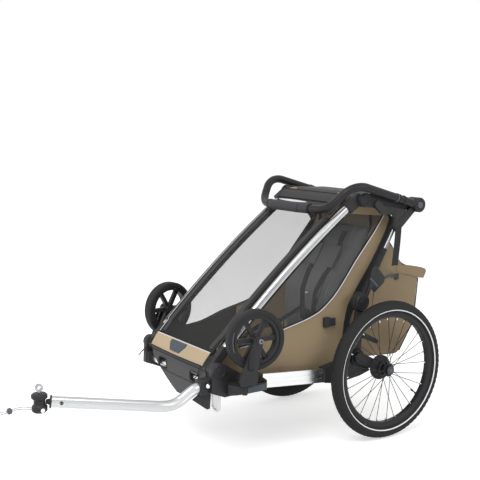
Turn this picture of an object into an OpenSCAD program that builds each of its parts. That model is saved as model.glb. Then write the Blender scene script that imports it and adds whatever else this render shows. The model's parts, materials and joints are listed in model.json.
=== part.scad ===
/* [Wheels] */
// Outer diameter of a rear wheel with its tyre
wheel_d = 500; // [460:5:540]
// Width of a rear tyre
tyre_w = 47; // [38:1:50]
// How far the middle of a rear tyre stands out from the corner casting beside it
wheel_offset = 54.5; // [54:0.5:60]
// Depth of the rim's section, from its edge to the spoke side
rim_depth = 19; // [14:1:24]
// Width of the rim
rim_w = 27; // [22:1:30]
// Number of spokes in a rear wheel
spoke_count = 28; // [16:4:36]
// Diameter of a spoke
spoke_d = 2.2; // [1.8:0.1:3]
// Diameter of the axle stub that carries a rear wheel
axle_d = 12; // [8:1:14]
// Travel of the button that frees a rear wheel
axle_button_travel = 4; // [2:0.5:4]

/* [Frame] */
// Distance between the middles of the two front pillars
frame_w = 410; // [390:2:420]
// Width of a pillar, across the trailer
pillar_w = 24; // [20:1:26]
// Depth of a pillar, seen from the side
pillar_d = 30; // [26:1:34]
// How far a pillar bows out from a straight line
pillar_bow = 16.5; // [12:0.5:24]
// Wall of the aluminium tubes
tube_wall = 2; // [1.5:0.5:3]
// Height of a base rail
rail_h = 48; // [40:1:52]
// Width of a base rail
rail_w = 24; // [18:1:24]
// Thickness of the floor tray
tray_t = 5; // [3:0.5:6]
// Diameter of the round tube between the two front corners
front_bar_d = 26; // [20:1:30]
// Diameter of the beam between the two rear corners
rear_beam_d = 34; // [26:1:38]

/* [Suspension] */
// Distance from the suspension pivot back to the wheel axle
swing_reach = 98; // [90:1:110]
// Diameter of the pin that the suspension arm swings on
swing_pin_d = 18; // [12:1:22]

/* [Handlebar] */
// Diameter of the handlebar tube
bar_d = 30; // [24:1:30]
// Diameter of the handlebar's two side hubs
hub_d = 54; // [50:1:58]
// Diameter of the grey push buttons in the hubs
hub_button_d = 24; // [18:1:28]
// Travel of a hub button
hub_button_travel = 5; // [3:0.5:5]
// Length of the grip on the front of the handlebar
grip_len = 144; // [110:2:144]

/* [Stroller wheels] */
// Diameter of a stored stroller wheel
caster_d = 200; // [180:2:204]
// Width of a stroller wheel
caster_w = 36; // [28:1:38]
// Number of spokes in a stroller wheel
caster_spokes = 6; // [5:1:8]
// Angle that a stored stroller wheel is toed by
caster_toe = 8.8; // [4:0.2:12]

/* [Tow arm] */
// Width of the tow arm's oval tube
arm_w = 28; // [24:1:28]
// Height of the tow arm's oval tube
arm_h = 36; // [32:1:38]
// Length of the tow arm's long straight
arm_reach = 314; // [280:1:340]
// Hole radius in the eye that the bike's axle passes through
eye_hole_r = 6.5; // [5:0.25:7]
// Diameter of the wire rope of the safety lanyard
lanyard_d = 2.6; // [2:0.2:3]

/* [Fabric] */
// Thickness of the fabric walls
cloth_t = 4; // [3:0.5:4]
// Width of the cargo bag
bag_w = 340; // [300:2:350]
// Width of the seat back
seat_w = 330; // [290:2:340]
// Thickness of the seat back's padding
seat_back_t = 34; // [24:1:40]
// Height of the seat pad
seat_pad_h = 66; // [50:1:80]
// Width of the webbing of the harness and wrist strap
webbing_w = 25; // [20:1:30]

/* [Hidden] */
$fn = 64;
gap = 0.3;      // between pieces that sit against each other
run = 0.05;     // radial clearance of a pin in its bore
slim = 0.03;    // how much slimmer a tube's straight is than its bends
fine_fn = 1440; // for arcs of several metres radius

// Side view points are [y, z]: y runs back from the rear axle, z up from the ground.
axle = [0, wheel_d / 2];
fold_pivot = [-672, 335];
pillar_foot = [-654, 366];
pillar_top = [-108, 837];
roof_pivot = [-65, 856];
bar_hub = [170, 829];
strut_top = [79, 752];
strut_pivot = [-75, 494];
swing_pivot = [-swing_reach, 298];
rail_front = [-545, 275.6];
rail_rear = [-190, 245];
front_bar_at = [-670, 278];
rear_beam_at = [-66, 258];
roof_bar_at = [-86, 850.5];
roof_front = [-102, 874];
roof_rear = [62, 806.5];

// Planes across the trailer, from the cabin outwards
pillar_x = frame_w / 2;
pillar_in = pillar_x - pillar_w / 2;
pillar_out = pillar_x + pillar_w / 2;
sleeve_in = pillar_in - 2.7;
panel_out = sleeve_in - gap;
panel_in = panel_out - cloth_t;
plate_in = pillar_out + 1;
plate_mid = plate_in + 18.5;
strut_in = plate_in + 6.3;
strut_out = plate_in + 21.7;
plate_out = plate_in + 22;
yoke_out = plate_out + 10;
rail_in = pillar_in + 18;
rail_out = rail_in + rail_w;
corner_in = rail_in - 4;
corner_out = plate_out;
wheel_x = corner_out + wheel_offset;

// The front pillars follow an arc, bowed up and forward from the chord between their ends
chord = norm(pillar_top - pillar_foot);
chord_dir = (pillar_top - pillar_foot) / chord;
bow_dir = [-chord_dir[1], chord_dir[0]];
arc_r = (chord * chord / 4 + pillar_bow * pillar_bow) / (2 * pillar_bow);
arc_at = (pillar_foot + pillar_top) / 2 - bow_dir * (arc_r - pillar_bow);
arc_half = asin(chord / 2 / arc_r);
arc_mid = atan2(bow_dir[1], bow_dir[0]);
function on_arc(t, out) =
  let (a = arc_mid + arc_half * (1 - 2 * t)) arc_at + (arc_r + out) * [cos(a), sin(a)];

function unit(v) = v / norm(v);
function flip(p) = [-p[0], p[1], p[2]];

// The origin is on the ground below the middle of the object's length
rear_end = 300;
module place() {
  front_end = cup_at[1] - cup_r;
  translate([0, -(front_end + rear_end) / 2, 0]) children();
}

module side(s) {
  if (s > 0) children();
  else mirror([1, 0, 0]) children();
}

module both() {
  children();
  mirror([1, 0, 0]) children();
}

// Turns a shape drawn in side view so that its x is the trailer's y, its y is z and its z is x
module yz(x = 0, at = [0, 0]) {
  translate([x, at[0], at[1]]) rotate(a = 120, v = [1, 1, 1]) children();
}

module plate(points, x0, x1) {
  yz(x0) linear_extrude(x1 - x0) polygon(points);
}

module disc(at, r, x0, x1) {
  yz(x0, at) cylinder(r = r, h = x1 - x0);
}

// A flat link with a round end about each of two points
module link(p, q, r1, r2, x0, x1) {
  n = [-unit(q - p)[1], unit(q - p)[0]];
  yz(x0) linear_extrude(x1 - x0) {
    polygon([p + n * r1, q + n * r2, q - n * r2, p - n * r1]);
    translate(p) circle(r = r1);
    translate(q) circle(r = r2);
  }
}

// A strip of even thickness along a row of side view points
module strip(points, back, x0, x1) {
  last = len(points) - 1;
  plate([for (p = points) p, for (i = [last:-1:0]) points[i] + back], x0, x1);
}

// A straight bar in the side plane; the child is its section
module beam(p, q, x) {
  d = unit(q - p);
  translate([x, p[0], p[1]]) rotate([atan2(-d[0], d[1]), 0, 0]) linear_extrude(norm(q - p)) children();
}

module oval(w, h) {
  r = min(w, h) / 2;
  square([w - (w > h ? 2 * r : 0), h - (h >= w ? 2 * r : 0)], center = true);
  for (s = [-1, 1]) {
    translate(w > h ? [s * (w / 2 - r), 0] : [0, s * (h / 2 - r)]) circle(r = r, $fn = 40);
  }
}

// An oval tube with a shallow groove down each flat side; less draws its wall in from both faces
module oval_tube(w, h, less = 0) {
  groove = 1.2 + 2 * less;
  difference() {
    oval(w - 2 * less, h - 2 * less);
    oval(w - 2 * tube_wall + 2 * less, h - 2 * tube_wall + 2 * less);
    for (s = [-1, 1]) translate([s * w / 2, 0]) square([groove, 4 + 2 * less], center = true);
  }
}

// Sweeps a section along the pillars' arc; the section's x is outward and its y is across
module arc_sweep(t0, t1, x) {
  a1 = arc_mid + arc_half * (1 - 2 * t0);
  a0 = arc_mid + arc_half * (1 - 2 * t1);
  yz(x, arc_at) rotate([0, 0, a0]) rotate_extrude(angle = a1 - a0, $fn = fine_fn)
    translate([arc_r, 0]) children();
}

module stick(a, b, r) {
  d = unit(b - a);
  translate(a) rotate([0, acos(d[2]), atan2(d[1], d[0])]) cylinder(r = r, h = norm(b - a));
}

// A round tube through a row of points, with a bend of the same radius at each inner point.
// Each straight is a hair slimmer than the bends and reaches a little way into them.
module bent_tube(p, bend_r, r) {
  reach = 0.5;
  last = len(p) - 1;
  turn = [for (i = [0:last]) i == 0 || i == last ? 0 : acos(unit(p[i] - p[i - 1]) * unit(p[i + 1] - p[i]))];
  cut = [for (i = [0:last]) bend_r * tan(turn[i] / 2)];
  for (i = [0:last - 1]) {
    u = unit(p[i + 1] - p[i]);
    a = i == 0 ? 0 : reach;
    b = i == last - 1 ? 0 : reach;
    stick(p[i] + u * (cut[i] - a), p[i + 1] - u * (cut[i + 1] - b), r - slim);
  }
  for (i = [1:last - 1]) {
    u = unit(p[i] - p[i - 1]);
    v = unit(p[i + 1] - p[i]);
    n = unit(v - u * (u * v));
    c = p[i] - u * cut[i] + n * bend_r;
    k = cross(-n, u);
    multmatrix([[-n[0], u[0], k[0], c[0]], [-n[1], u[1], k[1], c[1]], [-n[2], u[2], k[2], c[2]]])
      rotate_extrude(angle = turn[i]) translate([bend_r, 0]) circle(r = r, $fn = 48);
  }
}

// A padded panel: a grid of points swollen about its middle surface, as two faces and an edge
module pad(mid, nrm, swell, nu, nv) {
  front = [for (j = [0:nv]) for (i = [0:nu]) mid[j][i] + nrm[j] * swell[j][i]];
  rear = [for (j = [0:nv]) for (i = [0:nu]) mid[j][i]];
  w = nu + 1;
  n = w * (nv + 1);
  faces = [
    for (j = [0:nv - 1]) for (i = [0:nu - 1]) each [
      [j * w + i, j * w + i + 1, (j + 1) * w + i + 1], [j * w + i, (j + 1) * w + i + 1, (j + 1) * w + i],
      [n + j * w + i, n + (j + 1) * w + i + 1, n + j * w + i + 1],
      [n + j * w + i, n + (j + 1) * w + i, n + (j + 1) * w + i + 1]],
    for (i = [0:nu - 1]) each [
      [i + 1, i, n + i], [i + 1, n + i, n + i + 1],
      [nv * w + i, nv * w + i + 1, n + nv * w + i + 1], [nv * w + i, n + nv * w + i + 1, n + nv * w + i]],
    for (j = [0:nv - 1]) each [
      [j * w, (j + 1) * w, n + (j + 1) * w], [j * w, n + (j + 1) * w, n + j * w],
      [(j + 1) * w + nu, j * w + nu, n + j * w + nu],
      [(j + 1) * w + nu, n + j * w + nu, n + (j + 1) * w + nu]]];
  polyhedron(points = concat(front, rear), faces = faces);
}

// Base frame

module base_rails() {
  rail_groove = 5;
  color("silver") both() beam(rail_rear, rail_front, (rail_in + rail_out) / 2) difference() {
    square([rail_w, rail_h], center = true);
    for (s = [-1, 1]) translate([0, s * (rail_h / 4 - tube_wall / 4)])
      square([rail_w - 2 * tube_wall, rail_h / 2 - 1.5 * tube_wall], center = true);
    for (s = [-1, 1]) translate([rail_w / 2, s * rail_h / 6]) square([2, rail_groove], center = true);
  }
}

module rail_pocket() {
  beam(rail_rear, rail_front, (rail_in + rail_out) / 2)
    square([rail_w + 2 * gap / 3, rail_h + 2 * gap / 3], center = true);
}

module front_corner() {
  pin_r = 8;
  cap_r = 24;
  socket = rail_h / 2 + 5;
  color([0.10, 0.10, 0.11]) {
    difference() {
      union() {
        plate([[-500, rail_front[1] - socket - 4], [-500, rail_front[1] + socket - 8], [-575, 305],
          [-650, 352], fold_pivot + [0, cap_r - 2], [base_front + 4, 335], [base_front, 262], [-650, 242],
          [-560, rail_front[1] - socket]], plate_in, corner_out);
        plate([[-500, rail_front[1] - socket - 4], [-500, rail_front[1] + socket - 8], [-600, 302],
          [base_front + 6, 302], [base_front + 2, 264], [-650, 242], [-560, rail_front[1] - socket]],
          corner_in, plate_in);
      }
      rail_pocket();
    }
    disc(fold_pivot, pin_r, sleeve_in + 2, plate_in);
    disc(fold_pivot, cap_r, plate_in, corner_out + 6);
  }
}

module front_crossbar() {
  len = corner_in - gap / 2;
  color("silver") yz(-len, front_bar_at) difference() {
    cylinder(d = front_bar_d, h = 2 * len);
    translate([0, 0, -1]) cylinder(d = front_bar_d - 2 * tube_wall, h = 2 * len + 2);
  }
}

module rear_corner(s) {
  disc_r = 32;
  eye_r = 36;
  strut_pin_r = 8;
  upright_r = 13;
  eye_split = plate_in + 12.5;
  lever_at = [-72, 374];
  color([0.10, 0.10, 0.11]) {
    difference() {
      union() {
        plate([[-238, rail_rear[1] - 21], [-238, rail_rear[1] + 31], [-150, 290], [-96, 318],
          [-40, 290], [-36, 238], [-80, 226], [-180, 214]], corner_in, corner_out);
        disc(swing_pivot, disc_r, plate_in, corner_out);
        link(swing_pivot, strut_pivot, 20, upright_r, plate_in + 4, corner_out);
        disc(strut_pivot, eye_r, plate_in + 4, eye_split);
      }
      rail_pocket();
      disc(strut_pivot, eye_r + 0.5, eye_split, corner_out + 1);
      disc(swing_pivot, swing_pin_d / 2 + run, plate_in + 8, corner_out + 1);
    }
    disc(strut_pivot, strut_pin_r, eye_split, corner_out + 0.1);
    disc(strut_pivot, 16, corner_out + 0.1, corner_out + 4);
    if (s > 0) disc(lever_at, 5, corner_out, corner_out + 11);
  }
}

module rear_crossbeam() {
  len = corner_in - gap / 2;
  color([0.12, 0.12, 0.13]) yz(-len, rear_beam_at) difference() {
    cylinder(d = rear_beam_d, h = 2 * len);
    translate([0, 0, -1]) cylinder(d = rear_beam_d - 3 * tube_wall, h = 2 * len + 2);
  }
}

// Socket plates for the stroller wheels
stem = [corner_out + 45, -602];
stem_r = 9;
wing_top = 290;
wing_bottom = 248;

module wing_outline() {
  polygon([for (p = [[0.2, -640], [22, -652], [58, -638], [67, -612], [62, -530], [44, -514], [0.2, -505]])
    p + [corner_out, 0]]);
}

module side_wings() {
  recess = 7;
  color([0.09, 0.09, 0.10]) both() difference() {
    translate([0, 0, wing_bottom]) linear_extrude(wing_top - wing_bottom) wing_outline();
    translate([stem[0], stem[1], wing_bottom + 6]) cylinder(r = stem_r + run, h = 60);
    translate([corner_out + 6, -580, wing_top - recess]) cube([52, 52, recess + 1]);
    translate([corner_out - 1, base_front, wing_bottom - 1]) rotate([0, -14, 0])
      translate([0, 0, -20]) cube([80, 220, 20]);
  }
}

module wing_reflectors() {
  color([0.35, 0.36, 0.38]) both() translate([corner_out + 66.95, -606, wing_bottom + 18])
    rotate([0, 0, 3.5]) cube([2.5, 72, 20]);
}

// Front of the cabin

nose_y = front_bar_at[0] - front_bar_d / 2 - cloth_t - 2 * gap;
nose_line = [[-693, 336], [nose_y - 2, 316], [nose_y, 294], [nose_y, 248], [nose_y + 2, 226],
  [nose_y + 5, 198]];

// The panel narrows downwards like a shield; each point is a share of its half width, and a height.
nose_shield = [[1, 345], [1, 304], [0.80, 272], [0.56, 246], [0.28, 214], [0.10, 199], [0, 190]];

module nose_panel() {
  nose_half = panel_in - 2;
  hole_w = 56;
  hole_in = 82;
  color([0.30, 0.30, 0.31]) difference() {
    intersection() {
      strip(nose_line, [cloth_t, 1], -nose_half, nose_half);
      translate([0, nose_y + 60, 0]) rotate([90, 0, 0]) linear_extrude(120)
        polygon([for (p = nose_shield) [p[0] * nose_half, p[1]],
          for (i = [len(nose_shield) - 2:-1:0]) [-nose_shield[i][0] * nose_half, nose_shield[i][1]]]);
    }
    for (x = [-hole_in - hole_w, hole_in]) translate([x, nose_y - 40, 268]) cube([hole_w, 80, 36]);
  }
}

receiver_x = corner_in + 5;
receiver_z = 280;
base_front = -700; // front face of the front corner castings
receiver_depth = 43;
receiver_back = base_front + 8; // the receiver laps this far over the corner
receiver_front = receiver_back - receiver_depth;
pin_at = [receiver_front + 22, receiver_z + 10];

module hitch_receiver() {
  half = arm_w / 2 + 4;
  color([0.08, 0.08, 0.09]) difference() {
    translate([receiver_x - half, receiver_front, receiver_z - arm_h / 2 - 4])
      cube([2 * half, receiver_back - receiver_front, arm_h + 12]);
    translate([receiver_x, receiver_back - 7, receiver_z]) rotate([90, 0, 0]) linear_extrude(60)
      oval(arm_w + 2 * run, arm_h + 2 * run);
    yz(receiver_x - half - 1, pin_at) cylinder(r = 3 + run, h = 2 * half + 2);
    translate([corner_in - gap, base_front - 0.2, 250]) cube([60, 20, 90]);
  }
}

module receiver_pin() {
  half = arm_w / 2 + 4;
  color([0.82, 0.82, 0.80]) {
    yz(receiver_x - half - 2, pin_at) cylinder(r = 3, h = 2 * half + 8);
    translate([receiver_x + half + 8 + gap, pin_at[0], pin_at[1]]) sphere(r = 8);
  }
}

module skid_plate() {
  top = receiver_z - arm_h / 2 - 4 - gap;
  color([0.10, 0.10, 0.11]) plate([[receiver_front + 1, top], [receiver_front - 21, 244],
    [receiver_back - 14, 206], [receiver_back - 4, 208], [receiver_back, top]], receiver_x - 4, receiver_x + 12);
}

tray_top = 257;
tray_front = nose_y + cloth_t + gap;
tray_rear = -83.3;

module stand_loop() {
  y = -646;
  top = tray_top - tray_t - gap;
  color("silver") bent_tube([[corner_in - 55, y, top], [corner_in - 51, y, 182], [corner_in - 11, y, 182],
    [corner_in - 7, y, top]], 14, 5);
}

module floor_tray() {
  half = corner_in - gap;
  narrow = 112;
  color([0.20, 0.20, 0.21]) translate([0, 0, tray_top - tray_t]) linear_extrude(tray_t)
    polygon([[-half, tray_rear], [half, tray_rear], [half, -656], [narrow, tray_front], [-narrow, tray_front],
      [-half, -656]]);
}

module brake_lever() {
  lever_at = [-72, 374];
  lever_tip = [-10, 344];
  color([0.22, 0.22, 0.24]) difference() {
    link(lever_at, lever_tip, 10, 8, corner_out + gap, corner_out + 10);
    disc(lever_at, 5 + run, corner_out, corner_out + 12);
  }
}

// Front pillars and what they carry

module front_pillars() {
  color("silver") both() arc_sweep(0.02, 1, pillar_x) rotate(90) oval_tube(pillar_w, pillar_d);
}

module pillar_feet() {
  wall = 3;
  eye_r = 20;
  color([0.09, 0.09, 0.10]) both() difference() {
    union() {
      disc(fold_pivot, eye_r, pillar_in, pillar_out + gap * 2);
      link(fold_pivot, on_arc(-0.005, 0), eye_r - 1, 14, pillar_in, pillar_out + gap);
      arc_sweep(-0.005, 0.055, pillar_x) rotate(90) oval(pillar_w + gap * 2, pillar_d + 2 * wall);
    }
    arc_sweep(0.0195, 0.2, pillar_x) rotate(90) oval(pillar_w + 0.1, pillar_d + 0.1);
    disc(fold_pivot, 8 + run, sleeve_in, plate_in + 1);
  }
}

module top_castings() {
  bar_r = 22;
  pin_r = 10;
  yoke_r = 14;
  yoke_front = [-15, 838];
  color([0.10, 0.10, 0.11]) both() difference() {
    union() {
      link(roof_pivot, bar_hub, 25, bar_r, plate_in, plate_mid);
      disc(roof_pivot, 25, plate_mid, plate_mid + 0.8);
      arc_sweep(0.9, 1.065, sleeve_in) translate([-pillar_d / 2 - 4, 0])
        square([pillar_d + 8, plate_in + 4 - sleeve_in]);
      link(strut_top, bar_hub, yoke_r, yoke_r - 2, plate_out, yoke_out);
      link(strut_top, yoke_front, yoke_r, yoke_r, plate_out, yoke_out);
      plate([yoke_front, [90, 820], [150, 804], strut_top], plate_out, yoke_out - 2);
      disc(yoke_front, yoke_r, plate_mid, plate_out);
      disc(strut_top, yoke_r + 3, plate_out, yoke_out + 2);
      disc(bar_hub, hub_d / 2, plate_in, yoke_out + 1);
      disc(bar_hub, pin_r, yoke_out + 1, yoke_out + 8.5);
    }
    arc_sweep(0.8, 1.002, pillar_x) rotate(90) oval(pillar_w + 0.1, pillar_d + 0.1);
  }
}

module roof_crossbar() {
  bar_r = 9.5;
  color([0.10, 0.10, 0.11]) yz(-panel_out, roof_bar_at) cylinder(r = bar_r, h = 2 * panel_out);
}

module roof_panel() {
  color([0.24, 0.24, 0.24]) strip([roof_front, roof_rear], [-1.2, -3], -panel_out, panel_out);
}

cover_out = pillar_d / 2 + gap;

module front_cover() {
  cover_t = 3;
  over_pillar = 7;
  color([0.25, 0.25, 0.25, 0.9]) {
    arc_sweep(0, 0.985, 0) translate([cover_out + cover_t / 2, 0])
      square([cover_t, 2 * panel_out], center = true);
    arc_sweep(0.06, 0.89, 0) translate([cover_out + cover_t / 2, 0])
      square([cover_t, 2 * (pillar_in + over_pillar)], center = true);
  }
}

module cover_hem() {
  top = on_arc(0, cover_out + 1) - chord_dir * gap;
  hem_half = panel_in - 5;
  color([0.72, 0.64, 0.52])
    plate([top + [1, -1], top + [-3, 3.5], [-699, 339], [-695, 336.8]], -hem_half, hem_half);
}

rear_line = [[roof_rear[0] + 8, roof_rear[1] - 9], [-100, 500], [-112, tray_top + gap]];
side_rear = [[86, 796], [112, 776], [126, 756], [96, 697], [40, 612], [-42, 502], [-82, 438], [-106, 345],
  [-112.3, tray_top + gap]];
window = [[46, 788], [22, 744], [-24, 684], [-67, 632], [-147, 532], [-214, 475], [-322, 438],
  [-390, 422], [-481, 393], [-560, 384]];

module side_panels() {
  edge_steps = 8;
  color([0.52, 0.45, 0.36]) both() difference() {
    plate([for (i = [0:edge_steps]) on_arc(0.03 + 0.955 * i / edge_steps, cover_out - gap),
      roof_front + [3, -5], roof_rear + [0, -4], each side_rear,
      [-560, tray_top + gap], [-630, 300]], panel_in, panel_out);
    plate(concat(window, [for (i = [0:edge_steps]) on_arc(0.12 + 0.84 * i / edge_steps, -pillar_d / 2)]),
      panel_in - 1, panel_out + 1);
    disc(roof_bar_at, 9.5 + gap, 0, panel_out + 1);
  }
}

module side_windows() {
  edge_steps = 8;
  film = 1.5;
  color([0.30, 0.30, 0.30, 0.8]) both() plate(concat(window,
    [for (i = [0:edge_steps]) on_arc(0.12 + 0.84 * i / edge_steps, -pillar_d / 2)]),
    panel_in - gap - film, panel_in - gap);
}

module rear_panel() {
  color([0.50, 0.44, 0.35]) strip(rear_line, [cloth_t + 0.6, 0], gap - panel_in, panel_in - gap);
}

// Seat

function seat_mid(v) = v < 0.28
  ? [-112 + 12 * v / 0.28, 330 + 170 * v / 0.28]
  : [-100 + 140 * (v - 0.28) / 0.72, 500 + 246 * (v - 0.28) / 0.72];

// Rear face of the padding, a little forward of the panel at its bend, and the direction that it faces
function seat_rest(v) = seat_mid(v) - [gap + 2 * sin(180 * min(v / 0.56, 1)), 0];
function seat_tilt(v) = 3 + 24 * min(1, max(0, (v - 0.16) / 0.24));

module seat_back() {
  nu = 18;
  nv = 22;
  channel = 0.24;
  mid = [for (j = [0:nv]) let (v = j / nv) let (p = seat_rest(v))
    [for (i = [0:nu]) let (u = 2 * i / nu - 1)
      [u * seat_w / 2 * (1 - 0.10 * pow(abs(2 * v - 1), 4)), p[0], p[1]]]];
  nrm = [for (j = [0:nv]) let (a = seat_tilt(j / nv)) [0, -cos(a), sin(a)]];
  swell = [for (j = [0:nv]) let (v = j / nv) [for (i = [0:nu]) let (u = 2 * i / nu - 1)
    let (edge = pow(1 - pow(abs(u), 6), 0.5) * pow(1 - pow(abs(2 * v - 1), 8), 0.5))
    let (bolster = 0.45 * exp(-pow((abs(u) - 0.78) / 0.16, 2)))
    let (groove = 0.30 * exp(-pow((abs(u) - 0.5) / 0.06, 2)) + channel * exp(-pow((v - 0.5) / 0.03, 2)))
    4 + (seat_back_t - 4) * edge * (0.62 + bolster - groove)]];
  color([0.42, 0.42, 0.43]) pad(mid, nrm, swell, nu, nv);
}

module seat_pad() {
  nu = 18;
  nv = 16;
  len = 236;
  front = -352;
  mid = [for (j = [0:nv]) let (v = j / nv) [for (i = [0:nu]) let (u = 1 - 2 * i / nu)
    [u * (seat_w / 2 - 6 * pow(abs(2 * v - 1), 6)), front + len * v + 5 * u * u * (1 - v), tray_top + gap]]];
  nrm = [for (j = [0:nv]) [0, 0, 1]];
  swell = [for (j = [0:nv]) let (v = j / nv) [for (i = [0:nu]) let (u = 1 - 2 * i / nu)
    let (edge = pow(1 - pow(abs(u), 8), 0.4) * pow(1 - pow(abs(2 * v - 1), 8), 0.4))
    let (groove = 0.16 * exp(-pow((v - 0.5) / 0.05, 2)) + 0.10 * exp(-pow(u / 0.06, 2)))
    16 + (seat_pad_h - 16) * edge * (1 - groove)]];
  color([0.42, 0.42, 0.43]) pad(mid, nrm, swell, nu, nv);
}

module harness() {
  ahead = 4 + (seat_back_t - 4) * 0.62 + 0.5;
  thick = 2.5;
  inner_x = 40;
  color([0.12, 0.12, 0.13]) both()
    strip([for (v = [0.1, 0.16, 0.22, 0.28, 0.34, 0.4, 0.65, 0.9])
      let (a = seat_tilt(v)) seat_rest(v) + ahead * [-cos(a), sin(a)]], [-thick, 0], inner_x, inner_x + webbing_w);
}

// Handlebar

bar_x = yoke_out + 2.6;
grip_at = [-228, 824];
bar_side = [[bar_x, 151, 834.3], [bar_x, -128, 917], [bar_x - 57, -203, 824], [78, grip_at[0], grip_at[1]]];
bar_points = concat(bar_side, [for (i = [len(bar_side) - 1:-1:0]) flip(bar_side[i])]);

module handlebar() {
  pin_r = 10;
  recess = hub_button_travel + 3;
  color([0.14, 0.14, 0.15]) difference() {
    union() {
      both() disc(bar_hub, hub_d / 2, yoke_out + 1 + gap, yoke_out + 17);
      bent_tube(bar_points, 42, bar_d / 2);
    }
    both() {
      disc(bar_hub, hub_d / 2 + 4, plate_in, yoke_out + 1 + gap);
      disc(bar_hub, pin_r + run, yoke_out, yoke_out + 9);
      disc(bar_hub, hub_button_d / 2 + run, yoke_out + 17 - recess, yoke_out + 40);
    }
  }
}

module handle_grip() {
  grip_t = 2.5;
  color([0.20, 0.20, 0.21]) yz(-grip_len / 2, grip_at) difference() {
    cylinder(r = bar_d / 2 + grip_t, h = grip_len);
    translate([0, 0, -1]) cylinder(r = bar_d / 2 + 0.1, h = grip_len + 2);
  }
}

module hub_button() {
  proud = 1.8;
  color([0.42, 0.45, 0.48]) disc(bar_hub, hub_button_d / 2, yoke_out + 17 - 3 + 0.5, yoke_out + 17 + proud);
}

// Rear struts

strut_dir = strut_top - strut_pivot;
strut_len = norm(strut_dir);
strut_tube_r = 7.5;

module along_strut() {
  translate([0, strut_pivot[0], strut_pivot[1]])
    rotate([atan2(strut_dir[1], strut_dir[0]) - 90, 0, 0]) children();
}

module strut_sleeves() {
  pin_r = 8;
  eye_r = 34;
  sleeve_w = 28;
  start = 37;
  end = 124;
  outer_end = 212;
  mid_x = (strut_in + strut_out) / 2;
  color([0.16, 0.16, 0.17]) both() difference() {
    union() {
      disc(strut_pivot, eye_r, plate_in + 13, strut_out);
      along_strut() translate([plate_in + 13, -sleeve_w / 2, 0])
        cube([strut_out - plate_in - 13, sleeve_w, start + 1]);
      along_strut() translate([strut_in, -sleeve_w / 2, start])
        cube([strut_out - strut_in, sleeve_w, end - start]);
      along_strut() translate([mid_x, 0, end - 2]) cylinder(r = strut_tube_r + 3, h = outer_end - end + 2);
    }
    disc(strut_pivot, pin_r + run, plate_in, plate_in + 40);
    along_strut() translate([mid_x, 0, start + 5]) cylinder(r = strut_tube_r + run, h = outer_end);
  }
}

module strut_tubes() {
  mid_x = (strut_in + strut_out) / 2;
  in_at = 104;
  eye_r = 13;
  eye_run = 0.5;
  color([0.55, 0.56, 0.58]) both() {
    along_strut() translate([mid_x, 0, in_at]) cylinder(r = strut_tube_r, h = strut_len - in_at);
    disc(strut_top, eye_r, strut_in, strut_out - eye_run);
  }
}

// Bag and strap

module cargo_bag() {
  back_off = [cloth_t + 0.9, 0];
  color([0.46, 0.41, 0.33]) plate([[-6, 262], [-34, 318], [-90, 420], rear_line[1] + back_off,
    rear_line[1] + (rear_line[0] - rear_line[1]) * 0.72 + back_off, [106, 716], [128, 674], [178, 607],
    [rear_end, 571], [rear_end - 8, 543], [272, 541], [252, 376], [179, 261], [150, 252]],
    -bag_w / 2, bag_w / 2);
}

module wrist_strap() {
  strap_t = 3;
  color([0.20, 0.20, 0.21]) strip([[66, 752], [62, 700], [52, 615]], [webbing_w, 0],
    yoke_out + 2 + gap, yoke_out + 2 + gap + strap_t);
}

// Rear wheels, in place at the axle

hub_back = 32.2; // from the wheel's middle to the inner end of its hub

module suspension_arm() {
  boss_r = 28;
  arm_in = corner_out + gap;
  arm_out = wheel_x - hub_back - gap;
  pin_len = corner_out - plate_in - 9;
  color([0.13, 0.13, 0.14]) {
    disc(swing_pivot, swing_pin_d / 2, corner_out - pin_len, arm_in);
    disc(swing_pivot, boss_r, arm_in, arm_in + 10);
    link(swing_pivot, axle, 20, 17, arm_in + 6, arm_out);
    disc(axle, axle_d / 2, arm_out, wheel_x + 8);
  }
}

module tyre() {
  r = tyre_w / 2;
  seat = wheel_d / 2 - 41 + gap;
  color([0.12, 0.12, 0.13]) yz(wheel_x, axle) rotate_extrude($fn = 128) difference() {
    translate([wheel_d / 2 - r, 0]) circle(r = r, $fn = 48);
    translate([0, -r]) square([seat, 2 * r]);
  }
}

module rim() {
  edge = wheel_d / 2 - 41;
  low = edge - rim_depth;
  h = rim_w / 2;
  color([0.13, 0.13, 0.14]) yz(wheel_x, axle) rotate_extrude($fn = 128)
    polygon([[low, -h + 5], [low + 6, -h], [edge, -h], [edge, -h + 2], [edge - 4, -h + 3],
      [edge - 4, h - 3], [edge, h - 2], [edge, h], [low + 6, h], [low, h - 5]]);
}

module hub_and_spokes() {
  hub_in = -hub_back;
  hub_out = 13.5;
  cap_out = 20.5;
  hub_r = 13;
  flange_r = 24;
  flange_x = [-20.5, 9.5];
  spoke_r0 = flange_r - 3;
  spoke_r1 = wheel_d / 2 - 41 - rim_depth - gap;
  lean = 24;
  color([0.18, 0.18, 0.19]) yz(wheel_x, axle) difference() {
    union() {
      translate([0, 0, hub_in]) cylinder(r = hub_r, h = hub_out - hub_in);
      for (x = flange_x) translate([0, 0, x - 1.5]) cylinder(r = flange_r, h = 3);
      translate([0, 0, hub_out]) cylinder(r = hub_r + 3, h = cap_out - hub_out);
      for (i = [0:spoke_count - 1]) {
        a = 360 * i / spoke_count;
        b = a + lean * (floor(i / 2) % 2 == 0 ? 1 : -1);
        x = flange_x[i % 2];
        stick([spoke_r0 * cos(b), spoke_r0 * sin(b), x],
          [spoke_r1 * cos(a), spoke_r1 * sin(a), x > 0 ? 3 : -3], spoke_d / 2);
      }
    }
    translate([0, 0, hub_in - 1]) cylinder(r = axle_d / 2 + run, h = 8.5 - hub_in + 1);
    translate([0, 0, cap_out - axle_button_travel - 4.5]) cylinder(r = 8 + run, h = 20);
  }
}

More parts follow.
